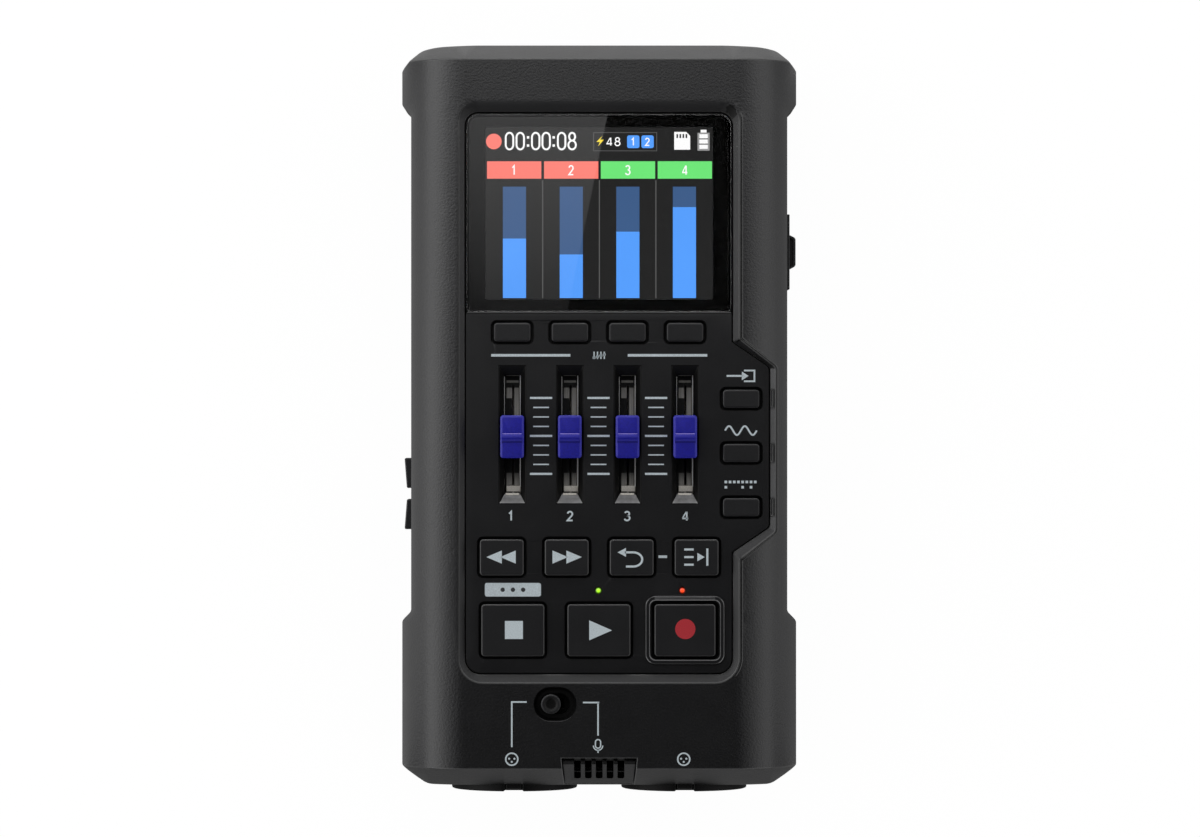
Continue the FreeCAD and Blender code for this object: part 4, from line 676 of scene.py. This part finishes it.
# along the top: the counter, a box with a bolt and 48, two squares with numbers, a card and a battery
squares = []
for x in (199.4, 219.6):
    (left, high), (right, low) = dots([(x, 11.2), (x + 17.4, 29)])
    squares.append(rounded_bar(left, right, low, high, 0.4))
box = stroke(dots([(152.2, 7.3), (241.2, 7.3), (241.2, 32.8), (152.2, 32.8)]), 0.11, closed=True)
white = []
for digit, x in (("0", 26.8), ("0", 42), ("0", 63.8), ("0", 78.6), ("0", 100.4), ("8", 115.2)):
    white += on_dots(digit, x, 32.1, 25.8, 13.2, 2.6)
for x in (59.6, 95.8):
    white += [block(x - 1.7, x + 1.7, y - 1.7, y + 1.7) for y in (14, 25.4)]
for digit, x in (("4", 170), ("8", 181.5)):
    white += on_dots(digit, x, 26.4, 12.8, 8.6, 1.7)
for number, x in enumerate(tabs, 1):
    white += on_dots(str(number), x + 34.2, 67.0, 14.4, 8.0, 1.9)
white += on_dots("1", 204.6, 26, 11.6, 7, 1.6) + on_dots("2", 224.6, 26, 11.6, 7, 1.6)
white.append(fill(dots([(265.9, 31.2), (288.4, 31.2), (288.4, 11.9), (282.8, 6.4), (265.9, 6.4)])))
white += [block(301.4, 313.2, 9.6 + 7.3 * i, 15.4 + 7.3 * i) for i in range(3)]
white.append(block(303.2, 311.5, 3.4, 7.3))
bolt = fill(dots([(156, 20.4), (161, 20.4), (158.4, 26.6), (166.6, 17.2), (161.6, 17.2), (164.4, 12)]))
pins = [block(269 + 4.3 * i, 271.4 + 4.3 * i, 9.4, 15) for i in range(4)]
pins += [block(300.6, 314, 15.4 + 7.3 * i, 16.9 + 7.3 * i) for i in range(2)]
layers = (
    ("back", [block(0, 320, 0, 240)], (0.0185, 0.0185, 0.0185)),
    ("red", [disc(*dots((11.3, 19.7)), 1.5)] + tab_bars[:2], (1.0, 0.216, 0.175)),
    ("green", tab_bars[2:], (0.162, 0.807, 0.195)),
    ("dim_blue", unlit, (0.051, 0.112, 0.254)),
    ("blue", lit_up + squares, (0.098, 0.352, 1.0)),
    ("grey", dividers + [box], (0.12, 0.12, 0.12)),
    ("battery", [block(298.8, 315.8, 7.6, 32.5)], (0.33, 0.33, 0.33)),
    ("yellow", [bolt], (0.95, 0.75, 0.05)),
    ("white", white, (1.0, 1.0, 1.0)),
    ("card_pins", pins, (0.0296, 0.0296, 0.0296)),
)
for step, (name, shapes, colour) in enumerate(layers):
    flat("screen_" + name, shapes, 38.66 + 0.008 * step, lit("screen_" + name, colour), "root", "display")


# Front keys: fourteen black keys, each a moulded cap on a hidden flange over a rubber pad. The icons are
# printed on top in pale ink, and the record key has a red dot.

low_key_top, key_top, transport_top = 41.55, 41.8, 42.0
column_middle, column_pitch = -0.1, 10.98
key_finish = moulded("key_plastic", (0.0060, 0.0060, 0.0074), 0.42, 0.35, depth=0.002)
key_edge_finish = moulded("key_edge", (0.024, 0.024, 0.0245), 0.35, depth=0.002)


def front_key(name, x, y, wide, long, top):
    """A cap with rounded upper edges standing on its flange. The taller keys' roundings are painted pale as
    highlights.
    """
    left, right, low, high = x - wide / 2, x + wide / 2, y - long / 2, y + long / 2
    corners, reach, foot, step = (0.65,) * 4, 0.6, 38.1, 38.8
    flange = slab(left - reach, right + reach, low - reach, high + reach, corners, ((0, foot), (0, step)))
    cap = slab(left, right, low, high, corners, rounded_rows(0.3, step - 0.05, top))
    made = piece(name + "_cap", merge([flange, cap]), key_finish, name, (name,))
    if top > low_key_top:
        second_finish(made, key_edge_finish, lambda x, y, z, nx, ny, nz: (z > 40) & (nz > 0.2) & (nz < 0.85))


for number in range(4):
    x = column_middle + (number - 1.5) * column_pitch
    front_key("track_key_%d" % (number + 1), x, 16.44, 7.0, 3.6, low_key_top)
for name, y in (("input_key", 3.76), ("effect_key", -6.58), ("rhythm_key", -16.92)):
    front_key(name, 27.08, y, 7.0, 3.5, low_key_top)
for name, x in (("rewind_key", -18.57), ("forward_key", -6.19), ("undo_key", 6.19), ("bounce_key", 18.57)):
    front_key(name, x, -26.47, 8.4, 6.9, key_top)
for name, x, wide in (("stop_key", -16.45, 12.05), ("play_key", -0.05, 12.05), ("record_key", 16.35, 11.65)):
    front_key(name, x, -40.35, wide, 9.95, transport_top)


def pointer(tip, back, y, half):
    """A triangle that points left or right."""
    outline = [(back, y - half), (tip, y), (back, y + half)]
    return fill(outline if tip > back else outline[::-1])


bent_arrow = [stroke(arc(6.5, -26.85, 1.7, 1.35, -90, 90, 14), 0.4), bar(4.9, 6.52, -25.7, -25.3),
              pointer(3.5, 5.1, -25.5, 0.85), bar(5.1, 6.52, -28.4, -28.0)]
list_arrow = [bar(16.2, 18.0, y, y + 0.4) for y in (-25.15, -26.6, -28.05)]
list_arrow += [pointer(20.1, 18.7, -26.4, 0.8), bar(20.4, 20.8, -28.05, -24.75)]
for name, shapes, top in (
    ("rewind_key", [pointer(-21.5, -18.55, -26.4, 1.25), pointer(-18.85, -15.9, -26.4, 1.25)], key_top),
    ("forward_key", [pointer(-5.95, -8.9, -26.4, 1.25), pointer(-3.3, -6.25, -26.4, 1.25)], key_top),
    ("undo_key", bent_arrow, key_top),
    ("bounce_key", list_arrow, key_top),
    ("stop_key", [bar(-17.96, -14.53, -42.0, -38.56)], transport_top),
    ("play_key", [pointer(2.45, -1.9, -40.35, 1.9)], transport_top),
):
    flat(name + "_print", shapes, top + 0.01, ink_finish, name, None)
red_ink = moulded("red_ink", (0.53, 0.005, 0.018), 0.45, grain=0.15, depth=0.002)
flat("record_key_print", [disc(16.4, -40.1, 1.93)], transport_top + 0.01, red_ink, "record_key", None)


# Lights: two short pipes of clear acrylic that end in small domes, one lit green and one lit red. They stand
# on the board and come up through the panel over the play and record keys.

def lathe(x, y, rows, steps=40):
    """A turned piece with an upright axis: (x + r cos t, y + r sin t, z) for (r, z) rows, bottom first, and
    t over a whole turn."""
    turn = np.linspace(0, 2 * np.pi, steps, endpoint=False)
    radius, z = np.array(rows, dtype=float).T[:, :, None]
    return loft(spread(x + radius * np.cos(turn), y + radius * np.sin(turn), z))


def lit_dome(name, colour):
    """Glowing acrylic, brightest in the middle of the dome and a little speckled."""
    made, tree, shader = material(name)
    level = profile(tree, add(tree, "LayerWeight", {}).outputs["Facing"], (
        (0.0, 1.6), (0.04, 1.44), (0.1, 0.64), (0.22, 0.224), (0.5, 0.08), (1.0, 0.01)))
    glow = tinted(tree, colour, between(tree, noise(tree, place(tree), 2500.0), 0.85, 1.15))
    feed(tree, shader, {"Emission Color": glow, "Emission Strength": level, "Roughness": 0.15,
                        "Base Color": (*(0.3 * part for part in colour), 1)})
    return made


lights_y, pipe_radius, dome_foot, board_top = -32.8, 0.57, 40.75, 31.8
turn = np.array([0, 0.3, 0.6, 0.9, 1.2])
dome = np.column_stack([pipe_radius * np.cos(turn), dome_foot + 0.34 * np.sin(turn)])
pipe_rows = np.vstack([(pipe_radius, board_top), dome, (0.08, 41.1)])
for name, x, slot, colour in (
    ("play_light", -0.15, "green_light", (0.37, 0.88, 0.02)),
    ("record_light", 15.85, "red_light", (1.0, 0.06, 0.01)),
):
    piece(name + "_dome", lathe(x, lights_y, pipe_rows), lit_dome(slot, colour), "root", (name,))


# Faders: a folded steel frame on the board, a steel lever in the slit and a blue cap pressed on it. Down the
# slot show two resistive strips with silver ends, the frame's edges, an end block and the slot's sloped end.
# The silver ends are painted lighter and darker along the slot as light and shade, the frame's edges are
# painted pale as highlights, and a pale sheet on the sloped end paints its highlight. The cap has flat faces
# for the finger and a ridge between them with a pale bead on its edge, a painted highlight.

def streaked(tree, stretch, detail=2.0):
    """Random streaks, long where stretch is small, as a value from 0 to 1."""
    at = add(tree, "Mapping", {"Vector": place(tree), "Scale": stretch})
    return noise(tree, at.outputs["Vector"], 1.0, detail)


def metal(name, colour, roughness, stretch=(40, 1200, 1200)):
    """Drawn or stamped metal: long fine streaks in its gloss and its relief."""
    made, tree, shader = material(name)
    streaks = streaked(tree, stretch, 4.0)
    bump = add(tree, "Bump", {"Strength": 0.4, "Distance": 0.004 * MM, "Height": streaks})
    tint = tinted(tree, colour, between(tree, streaks, 0.8, 1.2))
    gloss = between(tree, streaks, roughness - 0.1, roughness + 0.1)
    feed(tree, shader, {"Base Color": tint, "Metallic": 1.0, "Roughness": gloss,
                        "Normal": bump.outputs["Normal"]})
    return made


def painted_along_slot(name, colour, spots, stretch):
    """Colour times a level that runs through (y, level) spots along the slot, painted light and shade, with
    fine streaks.
    """
    made, tree, shader = material(name)
    tone = between(tree, streaked(tree, stretch), 0.5, 1.5)
    level = maths(tree, "MULTIPLY", tone, profile(tree, place(tree, "Y"), spots))
    feed(tree, shader, {"Base Color": tinted(tree, colour, level), "Roughness": 0.4})
    return made


steel_finish = metal("sheet_steel", (0.42, 0.40, 0.37), 0.35, (1200, 40, 1200))
blue_finish = moulded("blue_plastic", (0.0068, 0.006, 0.36), 0.36, 0.35, depth=0.002)
painted_blue_bead = moulded("blue_bead_painted_highlight", (0.34, 0.27, 0.8), 0.3, grain=0.1, depth=0.001)
shade_finish = moulded("shaded_blue", (0.004, 0.0035, 0.2), 0.45, 0.2, depth=0.002)
carbon_finish = moulded("carbon_strip", (0.002, 0.002, 0.002), 0.5, 0.2, grain=0.1, depth=0.002)
painted_frame_edge = moulded("frame_edge_painted_highlight", (0.92, 0.92, 0.9), 0.45, grain=0.12, depth=0.002)
bar_finish = moulded("slot_bars", (0.15, 0.145, 0.13), 0.5, grain=0.12, depth=0.002)
pale_finish = moulded("end_block", (0.85, 0.81, 0.73), 0.45, grain=0.2, depth=0.002)
painted_silver_light = painted_along_slot("silver_print_painted_light", (1.0, 0.96, 0.88), (
    (-0.0128, 0.34), (-0.0103, 0.06), (-0.002, 0.4), (0.001, 0.5), (0.006, 0.2)), (3000, 60, 3000))
painted_ramp_highlight = painted_along_slot("slot_ramp_painted_highlight", (1.0, 1.0, 1.0), (
    (-0.0162, 0.26), (-0.0153, 0.2), (-0.0147, 0.30), (-0.0143, 0.4)), (900, 900, 900))


def blocks_at(x, sides):
    """Square blocks, each between its left, right, low, high, bottom and top, where left and right are
    counted from x: the four corners (x, y) at both heights."""
    shapes = []
    for left, right, low, high, bottom, top in sides:
        across, along = x + np.array([left, right, right, left]), np.array([low, low, high, high])
        shapes.append(loft(spread(across, along, np.array([[bottom], [top]]))))
    return merge(shapes)


# the lever, bottom block first: its carriage, a wide part, the thin neck between the strips and the part in
# the cap
lever_blocks = ((-2.6, 2.6, -5.95, -0.95, 33.8, 35.4), (-0.6, 0.6, -5.45, -1.45, 35.3, 36.9),
                (-0.06, 0.28, -5.4, -1.5, 36.8, 37.8), (-0.6, 0.6, -5.45, -1.45, 37.7, 40.2))
floor, strip, print_top = 37.2, 37.3, 37.33
down_the_slot = (
    ("carbon", carbon_finish, (
        (-1.6, -0.08, -17.0, 6.3, floor, strip), (0.3, 1.3, -17.0, 6.3, floor, strip),
        (-1.6, 1.6, 6.3, 10.6, floor, strip))),
    ("silver", painted_silver_light, (
        (-1.15, -0.12, -12.8, -10.4, strip, print_top), (-1.15, -0.12, 3.9, 5.9, strip, print_top),
        (0.34, 1.2, -12.8, -10.4, strip, print_top), (0.34, 1.2, -2.0, 5.9, strip, print_top))),
    ("edges", painted_frame_edge, (
        (-1.6, -1.5, 0.5, 8.0, strip, 37.9), (1.42, 1.57, -13.0, 8.5, strip, 38.05))),
    ("end", pale_finish, (
        (-1.15, 1.5, -13.95, -12.85, floor, 38.0), (-1.3, 1.25, -14.6, -14.22, 38.6, 39.72))),
    ("bars", bar_finish, (
        (-1.2, 1.2, 8.15, 8.3, strip, 37.4), (-1.15, 1.15, 6.85, 7.3, strip, 37.4))),
)


def fader_cap(number, x):
    """A head with rounded and chamfered edges on two ribs that grip the lever. The ridge is a side view, a
    line of (y, z) spots, carried along x and shrunk a little at both ends, with a pale bead on its edge
    that is a painted highlight, and its lower slope is painted darker as shade."""
    cap, body = "fader_cap_%d" % number, "fader_%d" % number
    middle, shoulder, ridge_foot = -3.455, 43.3, 43.6
    turn = np.linspace(0, np.pi / 2, 4)
    over = np.column_stack([0.12 * (1 - np.cos(turn)), shoulder + 0.12 * np.sin(turn)])
    rows = np.vstack([(0, 41.3), over, (0.36, 43.68), (0.45, 43.7)])
    head = slab(x - 2.25, x + 2.25, middle - 4.075, middle + 4.075, (0.55,) * 4, rows)
    ribs = blocks_at(x, [(left, left + 0.6, middle - 3, middle + 3, 38.1, 41.3) for left in (-1.25, 0.65)])
    piece(cap + "_head", merge([head, ribs]), blue_finish, body, (cap,))
    side_y, side_z = np.array([
        (-1.4, 0), (-0.8, 0.32), (-0.3, 0.9), (-0.22, 1.06), (-0.1, 1.14), (0.1, 1.12), (0.38, 1.04),
        (0.5, 0.97), (0.58, 0.85), (0.61, 0.7), (0.62, 0)]).T
    step, share = np.array([
        (1.98, 0.9), (1.9, 0.98), (1.8, 1), (-1.8, 1), (-1.9, 0.98), (-1.98, 0.9)]).T[:, :, None]
    side_view = loft(spread(x + step, middle + share * side_y, ridge_foot + share * side_z))
    ridge = piece(cap + "_ridge", side_view, blue_finish, body)
    second_finish(ridge, shade_finish, lambda x, y, z, nx, ny, nz: (y < middle - 0.8) & (nz > 0.5))
    edge_bead = bead(x + 1.8, x - 1.8, middle + 0.54, 44.5, 0.08, 0.09)
    piece(cap + "_bead", edge_bead, painted_blue_bead, body)


for number in range(1, 5):
    x = column_middle + (number - 2.5) * column_pitch
    softened("fader_frame_%d" % number, "root", 0.12, steel_finish)
    lever, body = "fader_lever_%d" % number, "fader_%d" % number
    piece(lever + "_blade", blocks_at(x, lever_blocks), steel_finish, body, (lever,))
    for kind, finish, sides in down_the_slot:
        piece("fader_%s_%d" % (kind, number), blocks_at(x, sides), finish, "root")
    mouth, throat = (-16.14, panel_top - 0.01), (-14.38, 39.43)
    ramp = np.array([(x - 2.4, *mouth), (x + 2.4, *mouth), (x + 1.45, *throat), (x - 1.45, *throat)])
    piece("fader_ramp_%d" % number, (ramp, [np.arange(4)[None]]), painted_ramp_highlight, "root")
    fader_cap(number, x)


# Input switch: a small slide switch on the board, whose round black knob stands in a dished recess of the
# casing. The recess has a thin pale lip at its lower edge, a painted highlight.

knob_x, dish_y, knob_top = -9.2, -54.4, 42.0
turn = np.linspace(0.3, 1.57, 4)
shoulder = np.column_stack([1.6 + 0.3 * np.cos(turn), knob_top + 0.3 * np.sin(turn)])
hollow = [(1.35, 42.3), (1.2, 42.22), (1.05, 42.08), (0.8, 42.04)]
knob_rows = np.vstack([(1.9, 39.5), (1.9, knob_top), shoulder, hollow])
tongue = blocks_at(knob_x, ((-0.6, 0.6, dish_y - 0.8, dish_y + 0.8, 37.4, 39.6),))
knob = merge([lathe(knob_x, dish_y, knob_rows), tongue])
replaced = ("input_switch_knob",)
button = piece("input_switch_button", knob, key_finish, "input_switch", replaced)
# the knob's hollow and the switch body take the near-black finish as painted shade
second_finish(button, painted_shade_finish, lambda x, y, z, nx, ny, nz: np.hypot(x - knob_x, y - dish_y) < 1.3)
softened("input_switch_body", "root", 0.08, painted_shade_finish)

# the lip's path is two arcs of radius 3.28 round the dish's two centres, and its round section is the path
# + thick (cos t outwards, sin t up), where thick rises from the ends to 0.07 in the middle
bearing = np.radians(np.append(np.linspace(222, 270, 10), np.linspace(272, 318, 10)))[:, None]
centre_x = np.repeat([-9.25, -7.55], 10)[:, None]
thick = 0.07 * np.sin(np.linspace(0.15, np.pi - 0.15, 20))[:, None]
turn = np.linspace(0, 2 * np.pi, 6, endpoint=False)
reach = 3.28 + thick * np.cos(turn)
x, y = centre_x + reach * np.cos(bearing), dish_y + reach * np.sin(bearing)
dish_lip = loft(spread(x, y, case_top - 0.01 + thick * np.sin(turn)))
piece("dish_lip", dish_lip, painted_lip_highlight, "root")


# Microphone: a small round capsule in a rubber holder, behind a separate moulded grille plate with five
# slots, which lies in the bevel of the jack end.

rubber_finish = moulded("black_rubber", (0.011, 0.011, 0.011), 0.7, 0.3, grain=0.4, depth=0.01)
grille = softened("mic_grille", "root", 0.12, case_finish)

# the slots' round lower ends are made nearly square: the steps across and down from an end's centre, in end
# radii, are raised to the power 0.4, and z follows the bevel's slope
slot_pitch, end_radius, end_y, bevel_slope = 2.08, 0.62, -68.48, 11.4 / 4.5
places = table_of(grille.data.vertices, "co", 3) / MM
slot_x = np.clip(np.round(places[:, 0] / slot_pitch), -2, 2) * slot_pitch
across, down = (places[:, 0] - slot_x) / end_radius, (end_y - places[:, 1]) / end_radius
round_end = near(np.hypot(across, down), 1, 0.06) & (down > 0.02) & (places[:, 2] > 30.5)
square_x = slot_x + end_radius * np.sign(across) * np.abs(across) ** 0.4
square_y = end_y - end_radius * np.abs(down) ** 0.4
square_z = places[:, 2] + (square_y - places[:, 1]) * bevel_slope
squared = np.where(round_end[:, None], np.column_stack([square_x, square_y, square_z]), places)
grille.data.vertices.foreach_set("co", (squared * MM).ravel())
# the grille's upward end face takes the near-black finish as painted shade
second_finish(grille, painted_shade_finish, lambda x, y, z, nx, ny, nz: nz > 0.85)
softened("mic_holder", "root", 0.1, rubber_finish)
capsule_finish = metal("capsule_can", (0.55, 0.55, 0.53), 0.3)
softened("mic_capsule", "root", 0.1, capsule_finish)


# Rubber mat and main board: hidden behind the panel. The mat has a pad under every front key, and the board
# is green laminate whose tracks show as faint paths of lighter green.

softened("key_mat", "root", 0.1, rubber_finish)
board_finish, tree, shader = material("circuit_board")
cells = add(tree, "TexVoronoi", {"Vector": place(tree), "Scale": 420.0}, feature="F1", distance="MANHATTAN")
tracks = add(tree, "ValToRGB", {"Fac": cells.outputs["Distance"]})
for stop, position, colour in ((0, 0.35, (0.010, 0.085, 0.035, 1)), (1, 0.42, (0.016, 0.125, 0.05, 1))):
    tracks.color_ramp.elements[stop].position = position
    tracks.color_ramp.elements[stop].color = colour
feed(tree, shader, {"Base Color": tracks.outputs["Color"], "Roughness": 0.35})
softened("main_board", "root", 0.08, board_finish)


# Combined jacks: two black nylon rings at the lower end, each with a contact core for a 6.35 mm plug or
# a three-pin plug, brass contacts in the pin holes and a release tab.

core_z, pin_circle = 18.0, 5.35
jack_finish = moulded("jack_plastic", (0.0035, 0.0035, 0.0037), 0.5, 0.12, depth=0.004)
core_finish = moulded("core_plastic", (0.006, 0.006, 0.006), 0.5, depth=0.004)
tab_finish = moulded("tab_plastic", (0.005, 0.005, 0.0052), 0.45, 0.15, depth=0.003)
brass_finish = metal("contact_brass", (0.62, 0.46, 0.20), 0.3)
tube_rows = np.array([(0.85, -68.9), (1.1, -69.0), (1.2, -68.9), (1.2, -60.0), (0.85, -60.0), (0.85, -68.9)])


def contact(x, z):
    """A brass tube along Y: (x + r sin t, y, z + r cos t) for the (r, y) rows and t over a whole turn."""
    turn = np.linspace(0, 2 * np.pi, 24, endpoint=False)
    radius, y = tube_rows.T[:, :, None]
    return loft(spread(x + radius * np.sin(turn), y, z + radius * np.cos(turn)), closed=False)


for side, x in (("a", -16.5), ("b", 16.5)):
    softened("combo_jack_" + side, "root", 0.3, jack_finish, angle=40)
    softened("jack_core_" + side, "root", 0.15, core_finish, angle=40)
    softened("release_tab_" + side, "release_" + side, 0.25, tab_finish)
    contacts = [contact(x + pin_circle * math.sin(turn), core_z - pin_circle * math.cos(turn))
                for turn in (-2 * math.pi / 3, 0, 2 * math.pi / 3)]
    piece("jack_contacts_" + side, merge(contacts), brass_finish, "root")
    tab_floor = blocks_at(x, ((-2.1, 2.1, -71.8, -64.2, 27.72, 27.82),))
    piece("tab_floor_" + side, tab_floor, jack_finish, "root")


# Side controls: two volume keys on the left, the power slide with its plate on the right, and the small
# switches behind them on the board.

softened("volume_up_key", "volume_up", 0.15, key_finish, angle=50)
softened("volume_down_key", "volume_down", 0.15, key_finish, angle=50)
softened("power_switch_plate", "root", 0.12, panel_finish)

# the power knob: an outline seen from the front, drawn in by each (inset, z, share) row's inset. Between two
# plain rims, where share is 1, its outer face has grooves 0.15 (1 + cos(2 pi y / 1.1)) deep
knob_y, outer_x = 32.15, 37.95
lower_arm = [(35.6, knob_y - 3.6), (36.2, knob_y - 3.6)]
upper_arm = [(36.2, knob_y + 3.6), (35.6, knob_y + 3.6)]
outer_face = np.column_stack([np.full(37, outer_x), np.linspace(knob_y - 2.2, knob_y + 2.2, 37)])
hoop = np.vstack([lower_arm, arc(outer_x - 0.6, knob_y - 2.35, 0.6, 0.6, -65, 0, 5), outer_face,
                  arc(outer_x - 0.6, knob_y + 2.35, 0.6, 0.6, 0, 65, 5), upper_arm])
grooves = 0.15 * (1 + np.cos(2 * np.pi * (hoop[:, 1] - knob_y) / 1.1)) * (hoop[:, 0] > outer_x - 0.01)
rows = np.array([
    (0.45, 24.4, 0), (0.45, 23.6, 0), (0.12, 23.6, 0), (0, 23.72, 0), (0, 24.2, 0), (0, 24.4, 1),
    (0, 26.8, 1), (0, 27.0, 0), (0, 27.48, 0), (0.12, 27.6, 0), (0.45, 27.6, 0), (0.45, 26.8, 0)])
inset, z, share = rows.T[:, :, None]
inwards = mitre(hoop, closed=True)
x, y = hoop[:, 0] + inset * inwards[:, 0] - share * grooves, hoop[:, 1] + inset * inwards[:, 1]
stem = blocks_at(0, ((30.7, 35.7, knob_y - 1, knob_y + 1, 24.6, 26.6),))
knob = merge([loft(spread(x, y, z)), stem])
replaced = ("power_switch_knob",)
piece("power_knob_arch", knob, key_finish, "power_switch", replaced)
softened("side_switches", "root", 0.1, tray_finish)


# Battery bay: four 1.5 V cells in printed jackets, steel contacts at both ends, and a sliding door. A jacket
# is dark along the can with a pale band near one end, and both ends are bare steel.

cell_finish, tree, shader = material("cell_jacket")
bands = add(tree, "ValToRGB", {"Fac": between(tree, place(tree, "Y"), 0.0, 1.0, 0.0116, 0.0634)})
bands.color_ramp.interpolation = "CONSTANT"
bands.color_ramp.elements.remove(bands.color_ramp.elements[1])
bands.color_ramp.elements[0].color = (0.5, 0.5, 0.5, 1)
for start, colour in ((0.05, (0.02, 0.03, 0.05)), (0.7, (0.45, 0.45, 0.42)), (0.95, (0.5, 0.5, 0.5))):
    bands.color_ramp.elements.new(start).color = (*colour, 1)
feed(tree, shader, {"Base Color": bands.outputs["Color"], "Metallic": 0.6, "Roughness": 0.35})
softened("battery_cells", "root", 0.3, cell_finish, angle=50)
softened("battery_contacts", "root", 0.05, steel_finish, angle=50)
softened("battery_door", "battery_cover", 0.2, case_finish)


# Feet, screws and sockets: rubber discs glued into round seats, black cross-head screws, the headphone
# jack and the data socket at the display end, and the card socket behind the right side.

screw_finish = metal("black_screw", (0.05, 0.05, 0.052), 0.4)
socket_finish = moulded("socket_plastic", (0.01, 0.01, 0.01), 0.45, depth=0.003)
shell_finish = metal("socket_shell", (0.3, 0.3, 0.3), 0.4)
softened("case_feet", "root", 0.35, rubber_finish)
softened("door_feet", "battery_cover", 0.35, rubber_finish)
softened("case_screws", "root", 0.1, screw_finish)
softened("phones_jack", "root", 0.12, socket_finish)
data_socket = softened("usb_socket", "root", 0.06, shell_finish)
# the socket's opening takes the near-black finish as painted shade
second_finish(data_socket, painted_shade_finish, lambda x, y, z, nx, ny, nz: near(x, -18, 4.2) & near(z, 25.5, 1.35))
card_slot = softened("card_socket", "root", 0.06, shell_finish)
# the socket's opening takes the near-black finish as painted shade
second_finish(card_slot, painted_shade_finish, lambda x, y, z, nx, ny, nz: near(y, -2, 6.7) & near(z, 25.5, 0.9))
